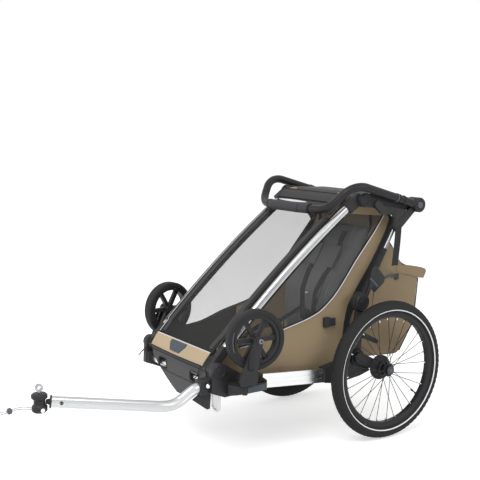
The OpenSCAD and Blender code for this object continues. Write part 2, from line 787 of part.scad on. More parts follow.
module axle_button() {
  cap_out = 20.5;
  color([0.35, 0.37, 0.39]) yz(wheel_x + cap_out - 4, axle) cylinder(r = 8, h = 6);
}

// Stored stroller wheels: local y runs back from the stem, local x out from the wheel's plane

caster_hub = [36, 434];

module at_stem() {
  translate([stem[0], stem[1], 0]) rotate([0, 0, -caster_toe]) children();
}

module caster_leg() {
  collar_r = 17;
  leg_in = caster_w / 2 + 2.5;
  leg_out = leg_in + 12;
  axle_r = 6;
  color([0.20, 0.20, 0.21]) at_stem() {
    translate([0, 0, wing_bottom + 6.5]) cylinder(r = stem_r, h = wing_top + 6 - wing_bottom - 6.5);
    translate([0, 0, wing_top + gap]) cylinder(r = collar_r, h = 14);
    translate([-collar_r, -22, wing_top + 14]) cube([leg_out + collar_r, 44, 14]);
    link([0, wing_top + 28], caster_hub, 26, 15, leg_in, leg_out);
    plate([[-33, wing_top + 18], [-26, wing_top + 1], [26, wing_top + 1], [33, wing_top + 18], [33, wing_top + 40],
      [-26, wing_top + 40]], leg_in, leg_out);
    disc(caster_hub, axle_r, -caster_w / 2, leg_in);
    disc(caster_hub, 11, leg_out, leg_out + 3);
  }
}

module caster_tyre() {
  wall = 17;
  r = 8;
  color([0.15, 0.15, 0.16]) at_stem() yz(0, caster_hub) rotate_extrude($fn = 96) difference() {
    union() {
      translate([caster_d / 2 - r, -caster_w / 2 + r]) circle(r = r, $fn = 32);
      translate([caster_d / 2 - r, caster_w / 2 - r]) circle(r = r, $fn = 32);
      translate([caster_d / 2 - wall, -caster_w / 2]) square([wall - r, caster_w]);
      translate([caster_d / 2 - wall, -caster_w / 2 + r]) square([wall, caster_w - 2 * r]);
    }
  }
}

module caster_rim() {
  edge = caster_d / 2 - 17 - gap;
  half = caster_w / 2 - 4;
  hub_r = 16;
  spoke_w = 14;
  color([0.17, 0.17, 0.18]) at_stem() yz(0, caster_hub) difference() {
    union() {
      rotate_extrude($fn = 96) translate([edge - 12, -half]) square([12, 2 * half]);
      translate([0, 0, -half - 2]) cylinder(r = hub_r, h = 2 * half + 4 + 2);
      for (i = [0:caster_spokes - 1]) rotate([0, 0, 360 * i / caster_spokes])
        translate([0, -spoke_w / 2, -7]) cube([edge - 6, spoke_w, 14]);
    }
    translate([0, 0, -40]) cylinder(r = 6 + run, h = 80);
  }
}

// Tow arm: out of the receiver, down, up to a gentle rise, then in towards the bike

arm_start = [receiver_x, receiver_back - 9, receiver_z];
arm_first = 34.5;
arm_drop = 44;
arm_down = 30;
arm_rise = 7.2;
arm_yaw = 20;
arm_r1 = 45;
arm_r2 = 90;
arm_r3 = 120;

function pitched(a) = [0, -cos(a), sin(a)];
function upright(a) = [0, sin(a), cos(a)];
function yawed(b) = pitched(arm_rise) * cos(b) + [-1, 0, 0] * sin(b);
arm_p1 = arm_start + pitched(0) * arm_first;
arm_p2 = arm_p1 + pitched(0) * arm_r1 * sin(arm_down) - upright(0) * arm_r1 * (1 - cos(arm_down));
arm_p3 = arm_p2 + pitched(-arm_down) * arm_drop;
arm_turn = arm_p3 + upright(-arm_down) * arm_r2;
arm_p4 = arm_turn - upright(arm_rise) * arm_r2;
arm_p5 = arm_p4 + arm_r3 * (pitched(arm_rise) * sin(arm_yaw) + [-1, 0, 0] * (1 - cos(arm_yaw)));
arm_dir = yawed(arm_yaw);
arm_end = arm_p5 + arm_dir * arm_reach;

// Each frame is [place, direction along the tube, direction up]
arm_frames = [
  [arm_start, pitched(0), upright(0)],
  for (k = [0:4]) let (a = arm_down * k / 4)
    [arm_p1 + arm_r1 * (pitched(0) * sin(a) - upright(0) * (1 - cos(a))), pitched(-a), upright(-a)],
  for (k = [0:6]) let (a = -arm_down + (arm_down + arm_rise) * k / 6)
    [arm_turn - upright(a) * arm_r2, pitched(a), upright(a)],
  for (k = [1:5]) let (b = arm_yaw * k / 5)
    [arm_p4 + arm_r3 * (pitched(arm_rise) * sin(b) + [-1, 0, 0] * (1 - cos(b))), yawed(b), upright(arm_rise)],
  [arm_end, arm_dir, upright(arm_rise)]];

// An oval with a shallow groove down each flat side
function oval_ring(w, h, groove) =
  let (r = w / 2, half = h / 2 - r)
  [for (s = [1, -1]) each [
    for (k = [0:9]) let (a = 9 + 18 * k) [s * r * cos(a), s * (r * sin(a) + half)],
    each groove > 0 ? [[-s * r, s * 2.6], [-s * (r - groove), s * 1.8], [-s * (r - groove), -s * 1.8], [-s * r, -s * 2.6]] : []]];

// Sweeps a closed outline along a row of frames
module sweep(frames, ring, over = 0) {
  n = len(ring);
  last = len(frames) - 1;
  points = [for (i = [0:last])
    let (f = frames[i], across = cross(f[2], f[1]), shift = i == 0 ? -over : i == last ? over : 0)
    for (q = ring) f[0] + f[1] * shift + across * q[0] + f[2] * q[1]];
  skin = [for (i = [0:last - 1]) for (k = [0:n - 1]) let (m = (k + 1) % n)
    each [[i * n + k, (i + 1) * n + k, (i + 1) * n + m], [i * n + k, (i + 1) * n + m, i * n + m]]];
  polyhedron(points = points, faces = concat(skin, [[for (k = [0:n - 1]) k]],
    [[for (k = [n - 1:-1:0]) last * n + k]]));
}

module at_arm_end() {
  u = upright(arm_rise);
  across = cross(u, arm_dir);
  multmatrix([for (k = [0:2]) [across[k], u[k], arm_dir[k], arm_end[k]]]) children();
}

module tow_arm() {
  hole_r = 6;
  color("silver") difference() {
    sweep(arm_frames, oval_ring(arm_w, arm_h, 0.8));
    sweep(arm_frames, oval_ring(arm_w - 2 * tube_wall - 1, arm_h - 2 * tube_wall, 0), 1);
    yz(receiver_x - 40, pin_at) cylinder(r = 3 + run, h = 80);
    at_arm_end() translate([0, 0, -30]) rotate([0, 90, 0]) cylinder(r = hole_r, h = arm_w, $fn = 32);
  }
}

// Coupling to the bike's axle

neck_len = 17;
cup_waist = 18;
cup_r = 25;
cup_at = arm_end + arm_dir * (neck_len + 4 * gap + cup_waist);
cup_low = cup_at[2] - 34;
cup_top = cup_at[2] + 25;
eye_z = cup_top + 17;
bolt_z = cup_low + 11;
shank_r = 6;

module hitch_neck() {
  flange_t = 5;
  color([0.08, 0.08, 0.09]) at_arm_end() {
    translate([0, 0, -24]) linear_extrude(24 + gap)
      oval(arm_w - 2 * tube_wall - 1.6, arm_h - 2 * tube_wall - 0.6);
    translate([0, 0, gap]) linear_extrude(flange_t) oval(arm_w + 6, arm_h + 6);
    translate([0, 0, gap + flange_t]) cylinder(r1 = 10, r2 = 6.5, h = neck_len - flange_t);
  }
}

module hitch_cup() {
  lower = 22;
  upper = 17;
  color([0.09, 0.09, 0.10]) difference() {
    translate([cup_at[0], cup_at[1], 0]) rotate_extrude() polygon([[0, cup_low], [cup_r - 6, cup_low],
      [cup_r - 1, cup_low + 5], [cup_r - 1, cup_low + lower - 3], [cup_waist, cup_low + lower + 3],
      [cup_waist, cup_top - upper - 3], [cup_r, cup_top - upper + 3], [cup_r, cup_top - 4],
      [cup_r - 5, cup_top], [0, cup_top]]);
    translate([cup_at[0], cup_at[1], cup_top - 14]) cylinder(r = shank_r + run, h = 20);
    yz(cup_at[0] - 40, [cup_at[1], bolt_z]) cylinder(r = 4 + run, h = 80);
    for (s = [0, 1]) translate([cup_at[0], 0, 0]) mirror([s, 0, 0])
      yz(cup_r - 2, [cup_at[1], bolt_z]) cylinder(r = 7, h = 10);
    for (z = rope_exits) translate([cup_at[0], rope_start + gap, z]) rotate([90, 0, 0])
      cylinder(r = lanyard_d / 2 + 0.15, h = 20);
  }
}

module hitch_bolt() {
  head_x = cup_r - 2 + gap;
  color([0.85, 0.85, 0.84]) translate([cup_at[0], 0, 0]) {
    yz(-head_x, [cup_at[1], bolt_z]) cylinder(r = 4, h = 2 * head_x);
    for (s = [0, 1]) mirror([s, 0, 0]) yz(head_x, [cup_at[1], bolt_z]) cylinder(r = 6.5, h = 4);
  }
}

module axle_eye() {
  eye_t = 9;
  color([0.78, 0.78, 0.80]) difference() {
    union() {
      translate([cup_at[0], cup_at[1], cup_top - 13.5]) cylinder(r = shank_r, h = 22);
      yz(cup_at[0] - eye_t / 2, [cup_at[1], eye_z]) cylinder(r = 12, h = eye_t);
    }
    yz(cup_at[0] - 20, [cup_at[1], eye_z]) cylinder(r = eye_hole_r, h = 40);
  }
}

// Safety lanyard: a stiff wire rope loop that leaves the cup and comes back, through one bead.
// The route's points are [y, z] on the loop, in order.
rope_start = cup_at[1] - 18;
rope_z = 268;
rope_apart = 2.4;
rope_exits = [rope_z + rope_apart, rope_z - rope_apart];
bead_from = [-1306, 273];
bead_to = [-1320, 271];
bead_dir = unit(bead_to - bead_from);
bead_up = [bead_dir[1], -bead_dir[0]];
bead_lead = bead_dir * 7;
rope_route = [
  [rope_start, rope_z + rope_apart], [rope_start - 7, rope_z + rope_apart],
  [rope_start - 9, rope_z + rope_apart], [-1264, 276], [-1282, 278],
  bead_from - bead_lead + bead_up * rope_apart, bead_from + bead_up * rope_apart,
  bead_to + bead_up * rope_apart, bead_to + bead_lead + bead_up * rope_apart,
  [-1350, 272.5], [-1376, 271], [-1396, 263], [-1406, 251], [-1402, 240], [-1390, 237],
  [-1374, 246], [-1350, 262.5],
  bead_to + bead_lead - bead_up * rope_apart, bead_to - bead_up * rope_apart,
  bead_from - bead_up * rope_apart, bead_from - bead_lead - bead_up * rope_apart,
  [-1282, 272], [-1264, 269.5], [rope_start - 9, rope_z - rope_apart],
  [rope_start - 7, rope_z - rope_apart], [rope_start, rope_z - rope_apart]];

function spline_at(p, i, t) =
  let (a = p[max(i - 1, 0)], b = p[i], c = p[i + 1], d = p[min(i + 2, len(p) - 1)])
  0.5 * (2 * b + (c - a) * t + (2 * a - 5 * b + 4 * c - d) * t * t + (3 * b - a - 3 * c + d) * t * t * t);

function spline(p, steps) = [for (i = [0:len(p) - 2]) for (k = [0:steps - 1]) spline_at(p, i, k / steps),
  p[len(p) - 1]];

// Sweeps a round cord along a row of [y, z] points at one x
module cord(points, x, r) {
  sides = 8;
  last = len(points) - 1;
  ring = [for (i = [0:last])
    let (d = unit(points[min(i + 1, last)] - points[max(i - 1, 0)]))
    for (k = [0:sides - 1]) let (a = 360 * k / sides)
      [x + r * cos(a), points[i][0] - d[1] * r * sin(a), points[i][1] + d[0] * r * sin(a)]];
  body = [for (i = [0:last - 1]) for (k = [0:sides - 1])
    let (m = (k + 1) % sides) each [[i * sides + k, i * sides + m, (i + 1) * sides + m],
      [i * sides + k, (i + 1) * sides + m, (i + 1) * sides + k]]];
  polyhedron(points = ring, faces = concat(body, [[for (k = [sides - 1:-1:0]) k]],
    [[for (k = [0:sides - 1]) last * sides + k]]));
}

module lanyard() {
  color([0.45, 0.46, 0.48]) cord(spline(rope_route, 3), cup_at[0], lanyard_d / 2);
}

module lanyard_bead() {
  bead_r = 10;
  tilt = atan2(bead_dir[1], bead_dir[0]);
  color([0.40, 0.43, 0.46]) yz(cup_at[0], bead_from) rotate([0, 0, tilt]) rotate([0, 90, 0]) difference() {
    translate([0, 0, 1]) rotate_extrude() polygon([[0, 0], [bead_r - 3, 0], [bead_r, 3], [bead_r, 11],
      [bead_r - 3, 14], [0, 14]]);
    for (s = [-1, 1]) translate([0, s * rope_apart, -1]) cylinder(r = lanyard_d / 2 + 0.2, h = 20);
  }
}

place() base_rails();
place() side(1) front_corner();  // front_corner_left
place() side(-1) front_corner();  // front_corner_right
place() front_crossbar();
place() side(1) rear_corner(1);  // rear_corner_left
place() side(-1) rear_corner(-1);  // rear_corner_right
place() rear_crossbeam();
place() side_wings();
place() wing_reflectors();
place() nose_panel();
place() skid_plate();
place() stand_loop();
place() floor_tray();
place() hitch_receiver();
place() receiver_pin();
place() seat_pad();
place() brake_lever();
place() front_pillars();
place() pillar_feet();
place() top_castings();
place() roof_crossbar();
place() roof_panel();
place() front_cover();
place() cover_hem();
place() side_panels();
place() side_windows();
place() rear_panel();
place() seat_back();
place() harness();
place() handlebar();
place() handle_grip();
place() side(1) hub_button();  // hub_button_left
place() side(-1) hub_button();  // hub_button_right
place() strut_sleeves();
place() strut_tubes();
place() cargo_bag();
place() wrist_strap();
place() side(1) suspension_arm();  // suspension_arm_left
place() side(-1) suspension_arm();  // suspension_arm_right
place() side(1) tyre();  // tyre_left
place() side(-1) tyre();  // tyre_right
place() side(1) rim();  // rim_left
place() side(-1) rim();  // rim_right
place() side(1) hub_and_spokes();  // hub_and_spokes_left
place() side(-1) hub_and_spokes();  // hub_and_spokes_right
place() side(1) axle_button();  // axle_button_left
place() side(-1) axle_button();  // axle_button_right
place() side(1) caster_tyre();  // stroller_tyre_left
place() side(-1) caster_tyre();  // stroller_tyre_right
place() side(1) caster_rim();  // stroller_rim_left
place() side(-1) caster_rim();  // stroller_rim_right
place() side(1) caster_leg();  // stroller_leg_left
place() side(-1) caster_leg();  // stroller_leg_right
place() tow_arm();
place() hitch_neck();
place() hitch_cup();
place() hitch_bolt();
place() axle_eye();
place() lanyard();
place() lanyard_bead();
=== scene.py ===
# %% [markdown]
# # A child bike trailer, dressed over its working frame
# The trailer's hard parts come from an exact model: tubes, castings, wheels and hinges are already there at
# real size. This lesson adds what such a model can't hold: cloth, stitching, rubber, film windows, small
# fittings and finishes. The first cell loads that model. Every piece made later is told which moving body
# it rides on.

# %% Load the frame
import bpy, bmesh, json, math, random
import numpy as np
from mathutils import Matrix, Vector

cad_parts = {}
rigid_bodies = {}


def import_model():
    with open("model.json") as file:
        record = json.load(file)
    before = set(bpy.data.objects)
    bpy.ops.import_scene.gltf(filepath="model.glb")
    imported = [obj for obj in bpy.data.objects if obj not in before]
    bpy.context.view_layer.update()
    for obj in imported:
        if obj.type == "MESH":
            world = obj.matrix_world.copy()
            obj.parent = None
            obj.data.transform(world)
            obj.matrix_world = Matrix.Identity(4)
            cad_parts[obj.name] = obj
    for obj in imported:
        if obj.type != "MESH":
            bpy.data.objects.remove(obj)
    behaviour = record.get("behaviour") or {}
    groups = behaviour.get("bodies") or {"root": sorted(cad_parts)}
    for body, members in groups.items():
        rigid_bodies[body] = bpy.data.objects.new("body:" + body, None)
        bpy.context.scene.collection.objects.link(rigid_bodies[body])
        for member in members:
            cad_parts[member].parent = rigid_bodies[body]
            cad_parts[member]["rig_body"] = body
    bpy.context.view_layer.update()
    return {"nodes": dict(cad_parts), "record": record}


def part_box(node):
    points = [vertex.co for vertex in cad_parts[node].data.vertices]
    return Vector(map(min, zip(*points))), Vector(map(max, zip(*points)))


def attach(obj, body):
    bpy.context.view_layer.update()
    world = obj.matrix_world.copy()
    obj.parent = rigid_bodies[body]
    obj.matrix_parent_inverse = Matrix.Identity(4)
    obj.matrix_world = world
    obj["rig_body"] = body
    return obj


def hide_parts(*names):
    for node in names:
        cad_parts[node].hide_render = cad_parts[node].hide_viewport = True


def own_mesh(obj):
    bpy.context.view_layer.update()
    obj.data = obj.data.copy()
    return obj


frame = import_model()
nodes = frame["nodes"]
random.seed(7)

# %% [markdown]
# The sizes in this file are in millimetres, measured from the rear axle: x to the trailer's left, y to the
# rear and z up from the ground. One small helper turns such a point into metres in the model's own frame.

# %% Measure from the rear axle
tyre_low, tyre_high = (Vector(c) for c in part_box("tyre_left"))
AXLE_Y = (tyre_low.y + tyre_high.y) / 2


def at(x, y, z):
    return Vector((x / 1000, y / 1000 + AXLE_Y, z / 1000))


def linked(name, data):
    """A new object in the scene, at the origin."""
    piece = bpy.data.objects.new(name, data)
    bpy.context.scene.collection.objects.link(piece)
    return piece


def span(n):
    """n + 1 evenly spaced numbers from -1 to 1."""
    return [-1 + 2 * i / n for i in range(n + 1)]


SIDES = (("left", 1), ("right", -1))
print("rear axle at y", round(AXLE_Y, 4))

# %% [markdown]
# ## Camera, floor and light
# The camera stands where the photograph was taken from: ahead of the trailer, on its left, a little above
# it. A plain white world keeps the background white, while soft lamps light the object at a level where a
# colour renders about as it is written.

# %% Camera
camera = linked("camera", bpy.data.cameras.new("camera"))
camera.location = at(2693, -2188, 1145)
aim = at(-132, -349.3, 694.4) - camera.location
camera.rotation_euler = aim.to_track_quat("-Z", "Y").to_euler()
camera.data.lens = 69.03
camera.data.sensor_width = 36
camera.data.clip_end = 60
bpy.context.scene.camera = camera
bpy.context.scene.view_settings.view_transform = "Standard"
print("camera", [round(c, 3) for c in camera.location])

# %% [markdown]
# A photographer's sweep is only a floor here: a large white plane that catches the trailer's shadow. Seen
# by the camera, in a mirror or through glass it is white, apart from that shadow. Three broad lamps and a
# dim world light the object, so metal has long soft highlights.

# %% Floor, lamps and world


def wire(tree, kind, *inputs, **settings):
    """Adds a node to a graph. An input is a node, a (node, output) pair, a value, or None for no change."""
    node = tree.nodes.new("ShaderNode" + kind)
    for key, value in settings.items():
        setattr(node, key, value)
    for socket, item in zip(node.inputs, inputs):
        if isinstance(item, bpy.types.Node):
            tree.links.new(item.outputs[0], socket)
        elif isinstance(item, tuple) and isinstance(item[0], bpy.types.Node):
            tree.links.new(item[0].outputs[item[1]], socket)
        elif item is not None:
            socket.default_value = item
    return node


def seen_ray(tree):
    """1 for a ray from the camera, off a mirror or through glass, and 0 for any other."""
    path = tree.nodes.new("ShaderNodeLightPath")
    bent = wire(tree, "Math", (path, "Is Glossy Ray"), (path, "Is Transmission Ray"), operation="MAXIMUM")
    return wire(tree, "Math", (path, "Is Camera Ray"), bent, operation="MAXIMUM")


FLOOR_GREY, FLOOR_GLOW = (0.86, 0.86, 0.86, 1), 0.50
WORLD_DIM, WORLD_BRIGHT = 0.62, 1.0

white_floor = bpy.data.materials.new("studio_floor")
white_floor.use_nodes = True
tree = white_floor.node_tree
tree.nodes.clear()
# A pure diffuse floor darkened by the shadow, with enough glow on top that its lit part is white.
level = wire(tree, "Math", seen_ray(tree), FLOOR_GLOW, operation="MULTIPLY")
glow = wire(tree, "Emission", None, level)
wire(tree, "OutputMaterial", wire(tree, "AddShader", wire(tree, "BsdfDiffuse", FLOOR_GREY), glow))
bpy.ops.mesh.primitive_plane_add(size=60, location=(0, 0, -0.0006))
floor = bpy.context.object
floor.name = "floor"
floor.data.materials.append(white_floor)

world = bpy.data.worlds.new("studio")
bpy.context.scene.world = world
world.use_nodes = True
tree = world.node_tree
sky = tree.nodes["Background"]
sky.inputs["Color"].default_value = (1, 1, 1, 1)
strength = wire(tree, "MapRange", seen_ray(tree))
strength.inputs["To Min"].default_value = WORLD_DIM
strength.inputs["To Max"].default_value = WORLD_BRIGHT
tree.links.new(strength.outputs[0], sky.inputs["Strength"])


def lamp(name, place, target, size, power):
    data = bpy.data.lights.new(name, "AREA")
    data.shape = "RECTANGLE"
    data.size, data.size_y = size
    data.energy = power
    light = linked(name, data)
    light.location = place
    light.rotation_euler = (Vector(target) - Vector(place)).to_track_quat("-Z", "Y").to_euler()
    return light


lamp("key", (1.6, -1.9, 3.4), (0, 0, 0.4), (2.2, 2.2), 95)
lamp("fill", (3.2, 1.6, 2.0), (0, 0, 0.5), (1.8, 1.8), 32)
lamp("front", (-1.8, -3.2, 1.9), (0, -0.3, 0.4), (1.6, 1.6), 26)

# %% [markdown]
# ## Shader maths as plain Python
# Blender's materials are graphs of small nodes. Written out by hand they are long, so a class wraps one
# socket and overloads the arithmetic operators: `1 - mask * 0.4` then adds its own Math nodes. A second
# class holds one finish and has a single method for any other node.

# %% Socket maths and finishes


class Value:
    """One output socket that can be used in a Python expression."""

    def __init__(self, finish, socket):
        self.finish = finish
        self.socket = socket

    def maths(self, operation, *others, clamp=False):
        node = self.finish.tree.nodes.new("ShaderNodeMath")
        node.operation = operation
        node.use_clamp = clamp
        for i, item in enumerate(others):
            self.finish.feed(node.inputs[i], item)
        return Value(self.finish, node.outputs[0])

    def __add__(self, other):
        return self.maths("ADD", self, other)

    __radd__ = __add__

    def __mul__(self, other):
        return self.maths("MULTIPLY", self, other)

    __rmul__ = __mul__

    def __sub__(self, other):
        return self.maths("SUBTRACT", self, other)

    def __rsub__(self, other):
        return self.maths("SUBTRACT", other, self)

    def __gt__(self, other):
        return self.maths("GREATER_THAN", self, other)

    def power(self, other):
        return self.maths("POWER", self, other)

    def clamped(self):
        return self.maths("ADD", self, 0.0, clamp=True)

    def sine(self):
        return self.maths("SINE", self)

    def size(self):
        return self.maths("ABSOLUTE", self)


class Finish:
    """A material on the Principled shader, with one method that adds any node."""

    def __init__(self, name, colour=(0.5, 0.5, 0.5), roughness=0.5, metallic=0.0, **sockets):
        self.material = bpy.data.materials.new(name)
        self.material.use_nodes = True
        self.tree = self.material.node_tree
        self.shader = self.tree.nodes["Principled BSDF"]
        self.set("Base Color", (*colour[:3], 1))
        self.set("Roughness", roughness)
        self.set("Metallic", metallic)
        self.set("Specular IOR Level", 0.5 if metallic else 0.16)
        for key, value in sockets.items():
            self.set(key.replace("_", " "), value)

    def feed(self, socket, item):
        if isinstance(item, Value):
            self.tree.links.new(item.socket, socket)
        else:
            socket.default_value = item

    def set(self, name, item):
        self.feed(self.shader.inputs[name], item)

    def node(self, kind, inputs=None, out=0, stops=None, **settings):
        node = self.tree.nodes.new("ShaderNode" + kind)
        for key, value in settings.items():
            setattr(node, key, value)
        if stops:
            ramp = node.color_ramp
            while len(ramp.elements) < len(stops):
                ramp.elements.new(0.5)
            for element, (place, colour) in zip(ramp.elements, stops):
                element.position = place
                element.color = (*colour, 1) if len(colour) == 3 else colour
        for key, item in (inputs or {}).items():
            self.feed(node.inputs[key], item)
        return Value(self, node.outputs[out])

    def place(self, scale=(1, 1, 1), turn=(0, 0, 0)):
        coords = self.node("TexCoord", out="Object")
        return self.node("Mapping", {"Vector": coords, "Scale": scale, "Rotation": turn})

    def noise(self, scale, detail=3.0, where=None, roughness=0.5):
        where = where or self.place()
        return self.node("TexNoise", {"Vector": where, "Scale": scale, "Detail": detail,
                                      "Roughness": roughness})

    def blend(self, low, high, factor):
        return self.node("Mix", {0: factor, 6: low, 7: high}, out=2, data_type="RGBA")

    def tone(self, colour, spread, factor):
        """The colour, darker and lighter by spread as factor goes from 0 to 1."""
        dark = (*[c * (1 - spread) for c in colour[:3]], 1)
        light = (*[min(1, c * (1 + spread)) for c in colour[:3]], 1)
        return self.blend(dark, light, factor)

    def bump(self, height, strength=0.3, distance=0.001):
        return self.node("Bump", {"Height": height, "Strength": strength, "Distance": distance})


def split(finish, vector):
    node = finish.tree.nodes.new("ShaderNodeSeparateXYZ")
    finish.feed(node.inputs[0], vector)
    return [Value(finish, node.outputs[i]) for i in range(3)]


# %% [markdown]
# ## The finishes
# A trailer mixes a few families of material: bright anodised tube, black moulded nylon with a fine
# spark-eroded texture, satin painted steel, soft rubber, tinted film and woven cloths. Each gets colour
# variation at the size of a hand, and grain at the size that the real surface has.

# %% Metals


def metal(name, colour, roughness, streak, along):
    """Drawn metal: faint streaks run along one axis, because noise is squeezed on the others."""
    f = Finish(name, colour, roughness, 1.0)
    stretch = [90.0, 90.0, 90.0]
    stretch[along] = 2.5
    lines = f.noise(6.0, 2.0, f.place(stretch))
    cloud = f.noise(7.0, 3.0)
    f.set("Base Color", f.tone(colour, 0.10, cloud * 0.4 + lines * 0.6))
    f.set("Roughness", lines * streak + (roughness - streak / 2))
    f.set("Normal", f.bump(lines, 0.05, 0.0004))
    return f.material


aluminium = metal("polished_aluminium", (0.66, 0.665, 0.67), 0.24, 0.20, 1)
arm_aluminium = metal("satin_aluminium", (0.50, 0.505, 0.51), 0.34, 0.16, 1)
bright_steel = metal("bright_steel", (0.70, 0.70, 0.71), 0.22, 0.10, 2)
satin_steel = metal("satin_steel", (0.34, 0.345, 0.355), 0.30, 0.12, 2)
strut_metal = metal("dark_silver", (0.20, 0.205, 0.215), 0.30, 0.10, 2)
print("metals made")

# %% [markdown]
# Moulded nylon isn't a flat black. Its mould was etched, so it has a fine grain that scatters light, and
# handling leaves it slightly shinier in patches. Two noises do this: a very fine one for the grain and a
# broad one for wear.

# %% Plastics and painted metal


def moulded(name, colour, roughness, grain=900.0, depth=0.12, spread=0.12, **more):
    f = Finish(name, colour, roughness, **more)
    fine = f.noise(grain, 2.0)
    broad = f.noise(9.0, 4.0)
    f.set("Base Color", f.tone(colour, spread, broad))
    f.set("Roughness", broad * 0.16 + (roughness - 0.08))
    f.set("Normal", f.bump(fine, depth, 0.0005))
    return f.material


casting_black = moulded("moulded_black", (0.027, 0.027, 0.029), 0.44, depth=0.22)
satin_black = moulded("satin_black", (0.021, 0.021, 0.023), 0.36, grain=500.0, depth=0.06)
wheel_black = moulded("wheel_black", (0.024, 0.024, 0.026), 0.42, grain=700.0, depth=0.14)
button_grey = moulded("button_grey", (0.085, 0.095, 0.110), 0.34, grain=600.0, depth=0.08, Coat_Weight=0.15)
grey_plate = moulded("grey_plate", (0.060, 0.072, 0.088), 0.40, grain=800.0, depth=0.10)
grip_rubber = moulded("grip_rubber", (0.045, 0.045, 0.048), 0.62, grain=420.0, depth=0.40)
soft_black = moulded("soft_black_rubber", (0.020, 0.020, 0.021), 0.52, grain=600.0, depth=0.20)
white_plastic = moulded("white_plastic", (0.80, 0.80, 0.79), 0.36, grain=500.0, depth=0.05, spread=0.03)
deep_black = moulded("deep_black", (0.006, 0.006, 0.006), 0.60, grain=500.0, depth=0.10)
# A pale grey for a thin ring on each stroller tyre: a painted highlight along the tyre's edge.
ring_grey = moulded("ring_grey", (0.170, 0.170, 0.175), 0.50, grain=500.0, depth=0.05)
recess_brown = moulded("recess_brown", (0.030, 0.022, 0.013), 0.50, grain=500.0, depth=0.10)
print("plastics made")

# %% [markdown]
# Woven polyester is made of threads that pass over and under each other. Two sine waves at right angles,
# multiplied, give that chequer of raised threads; it has a pitch near a millimetre, so it reads as cloth
# from close by and as an even colour from a step away. Sheen adds the pale edge that cloth shows where it
# turns away.

# %% Cloths


def woven(name, colour, pitch=0.0011, spread=0.16, depth=0.35, sheen=0.12, roughness=0.82):
    f = Finish(name, colour, roughness, Sheen_Weight=sheen, Sheen_Roughness=0.45)
    x, y, z = split(f, f.place())
    turn = 2 * math.pi / pitch
    warp = (y * turn + x * turn * 0.35).sine()
    weft = (z * turn + x * turn * 0.65).sine()
    weave = warp * weft * 0.5 + 0.5
    broad = f.noise(5.0, 4.0)
    slub = f.noise(260.0, 2.0)
    f.set("Base Color", f.tone(colour, spread, broad * 0.7 + weave * 0.3))
    f.set("Roughness", roughness - 0.10 + slub * 0.14)
    f.set("Normal", f.bump(weave * 0.6 + slub * 0.4, depth, 0.0004))
    return f.material


tan_cloth = woven("tan_cloth", (0.250, 0.190, 0.116))
# The hem's tan is the walls' tan cloth made lighter: painted light for a band that faces the light.
tan_hem_painted_lit = woven("tan_hem_cloth", (0.420, 0.325, 0.215))
# The cabin's lining is one tan cloth in two copies: a lit copy, lighter than the outside tan, is painted
# light, and a near-black copy is painted shade for the inside where shade falls.
lining_painted_lit = woven("tan_lining", (0.33, 0.262, 0.165), sheen=0.1)
grey_cloth = woven("grey_cloth", (0.066, 0.066, 0.068), pitch=0.0014)
dark_lining = woven("dark_lining", (0.045, 0.043, 0.040), sheen=0.1)
seat_cloth = woven("seat_cloth", (0.150, 0.150, 0.155), pitch=0.0016)
black_binding = woven("black_binding", (0.016, 0.016, 0.017), pitch=0.0010)
webbing = woven("webbing", (0.022, 0.022, 0.024), pitch=0.0022, depth=0.6)
grey_webbing = woven("grey_webbing", (0.050, 0.054, 0.062), pitch=0.0022, depth=0.6)
roof_cloth = woven("roof_cloth", (0.042, 0.042, 0.043), pitch=0.0013)
white_piping = woven("reflective_piping", (0.66, 0.67, 0.69), pitch=0.0009, spread=0.05, roughness=0.55,
                     sheen=0.1)
print("cloths made")

# %% [markdown]
# The windows and the front cover are one thin tinted film each. A film isn't solid glass: light goes
# straight through it, so it is the alpha of a dark, slightly glossy surface, and what lies behind shows
# through, greyer.

# %% Films and rubber


def film(name, colour, alpha, roughness, mesh_pitch=None):
    f = Finish(name, colour, roughness, Coat_Weight=0.2, Coat_Roughness=0.15)
    broad = f.noise(3.5, 3.0)
    f.set("Base Color", f.tone(colour, 0.15, broad))
    f.set("Normal", f.bump(f.noise(11.0, 2.0), 0.10, 0.004))
    if mesh_pitch:
        x, y, z = split(f, f.place())
        turn = 2 * math.pi / mesh_pitch
        threads = ((x * turn).sine() * (z * turn).sine()) * 0.5 + 0.5
        f.set("Alpha", threads * 0.04 + (alpha - 0.02))
    else:
        f.set("Alpha", broad * 0.06 + (alpha - 0.03))
    return f.material


front_film = film("front_cover_film", (0.050, 0.050, 0.051), 0.15, 0.35, mesh_pitch=0.0013)
side_film = film("side_window_film", (0.105, 0.105, 0.106), 0.16, 0.22)


def rubber(name, colour, roughness=0.72, spread=0.2):
    f = Finish(name, colour, roughness)
    dust = f.noise(14.0, 5.0)
    fine = f.noise(700.0, 2.0)
    f.set("Base Color", f.tone(colour, spread, dust))
    f.set("Roughness", dust * 0.14 + (roughness - 0.07))
    f.set("Normal", f.bump(fine, 0.18, 0.0005))
    return f.material


tyre_rubber = rubber("tyre_rubber", (0.020, 0.020, 0.021))
stroller_rubber = rubber("stroller_rubber", (0.021, 0.021, 0.022), 0.60)
print(len(bpy.data.materials), "materials so far")

# %% [markdown]
# ## The safety lanyard
# A cord is settled first, because its length is a fact: a thin wire rope that leaves the hitch, passes
# through a bead, makes its loop and comes back through the bead to the hitch. Its route repeats the model's
# own points, drawn as one smooth curve with a round bevel.

# %% Lanyard
LANYARD_D = 2.6
cup_low, cup_high = (Vector(c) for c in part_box("hitch_cup"))
cup_mid = (cup_low + cup_high) / 2
CUP = (cup_mid.x * 1000, (cup_mid.y - AXLE_Y) * 1000)
rope_start, rope_z, rope_apart = CUP[1] - 18, 268.0, 2.4
bead_from, bead_to = np.array((-1306.0, 273.0)), np.array((-1320.0, 271.0))
bead_dir = (bead_to - bead_from) / np.linalg.norm(bead_to - bead_from)
lead = bead_dir * 7
up = np.array((bead_dir[1], -bead_dir[0])) * rope_apart


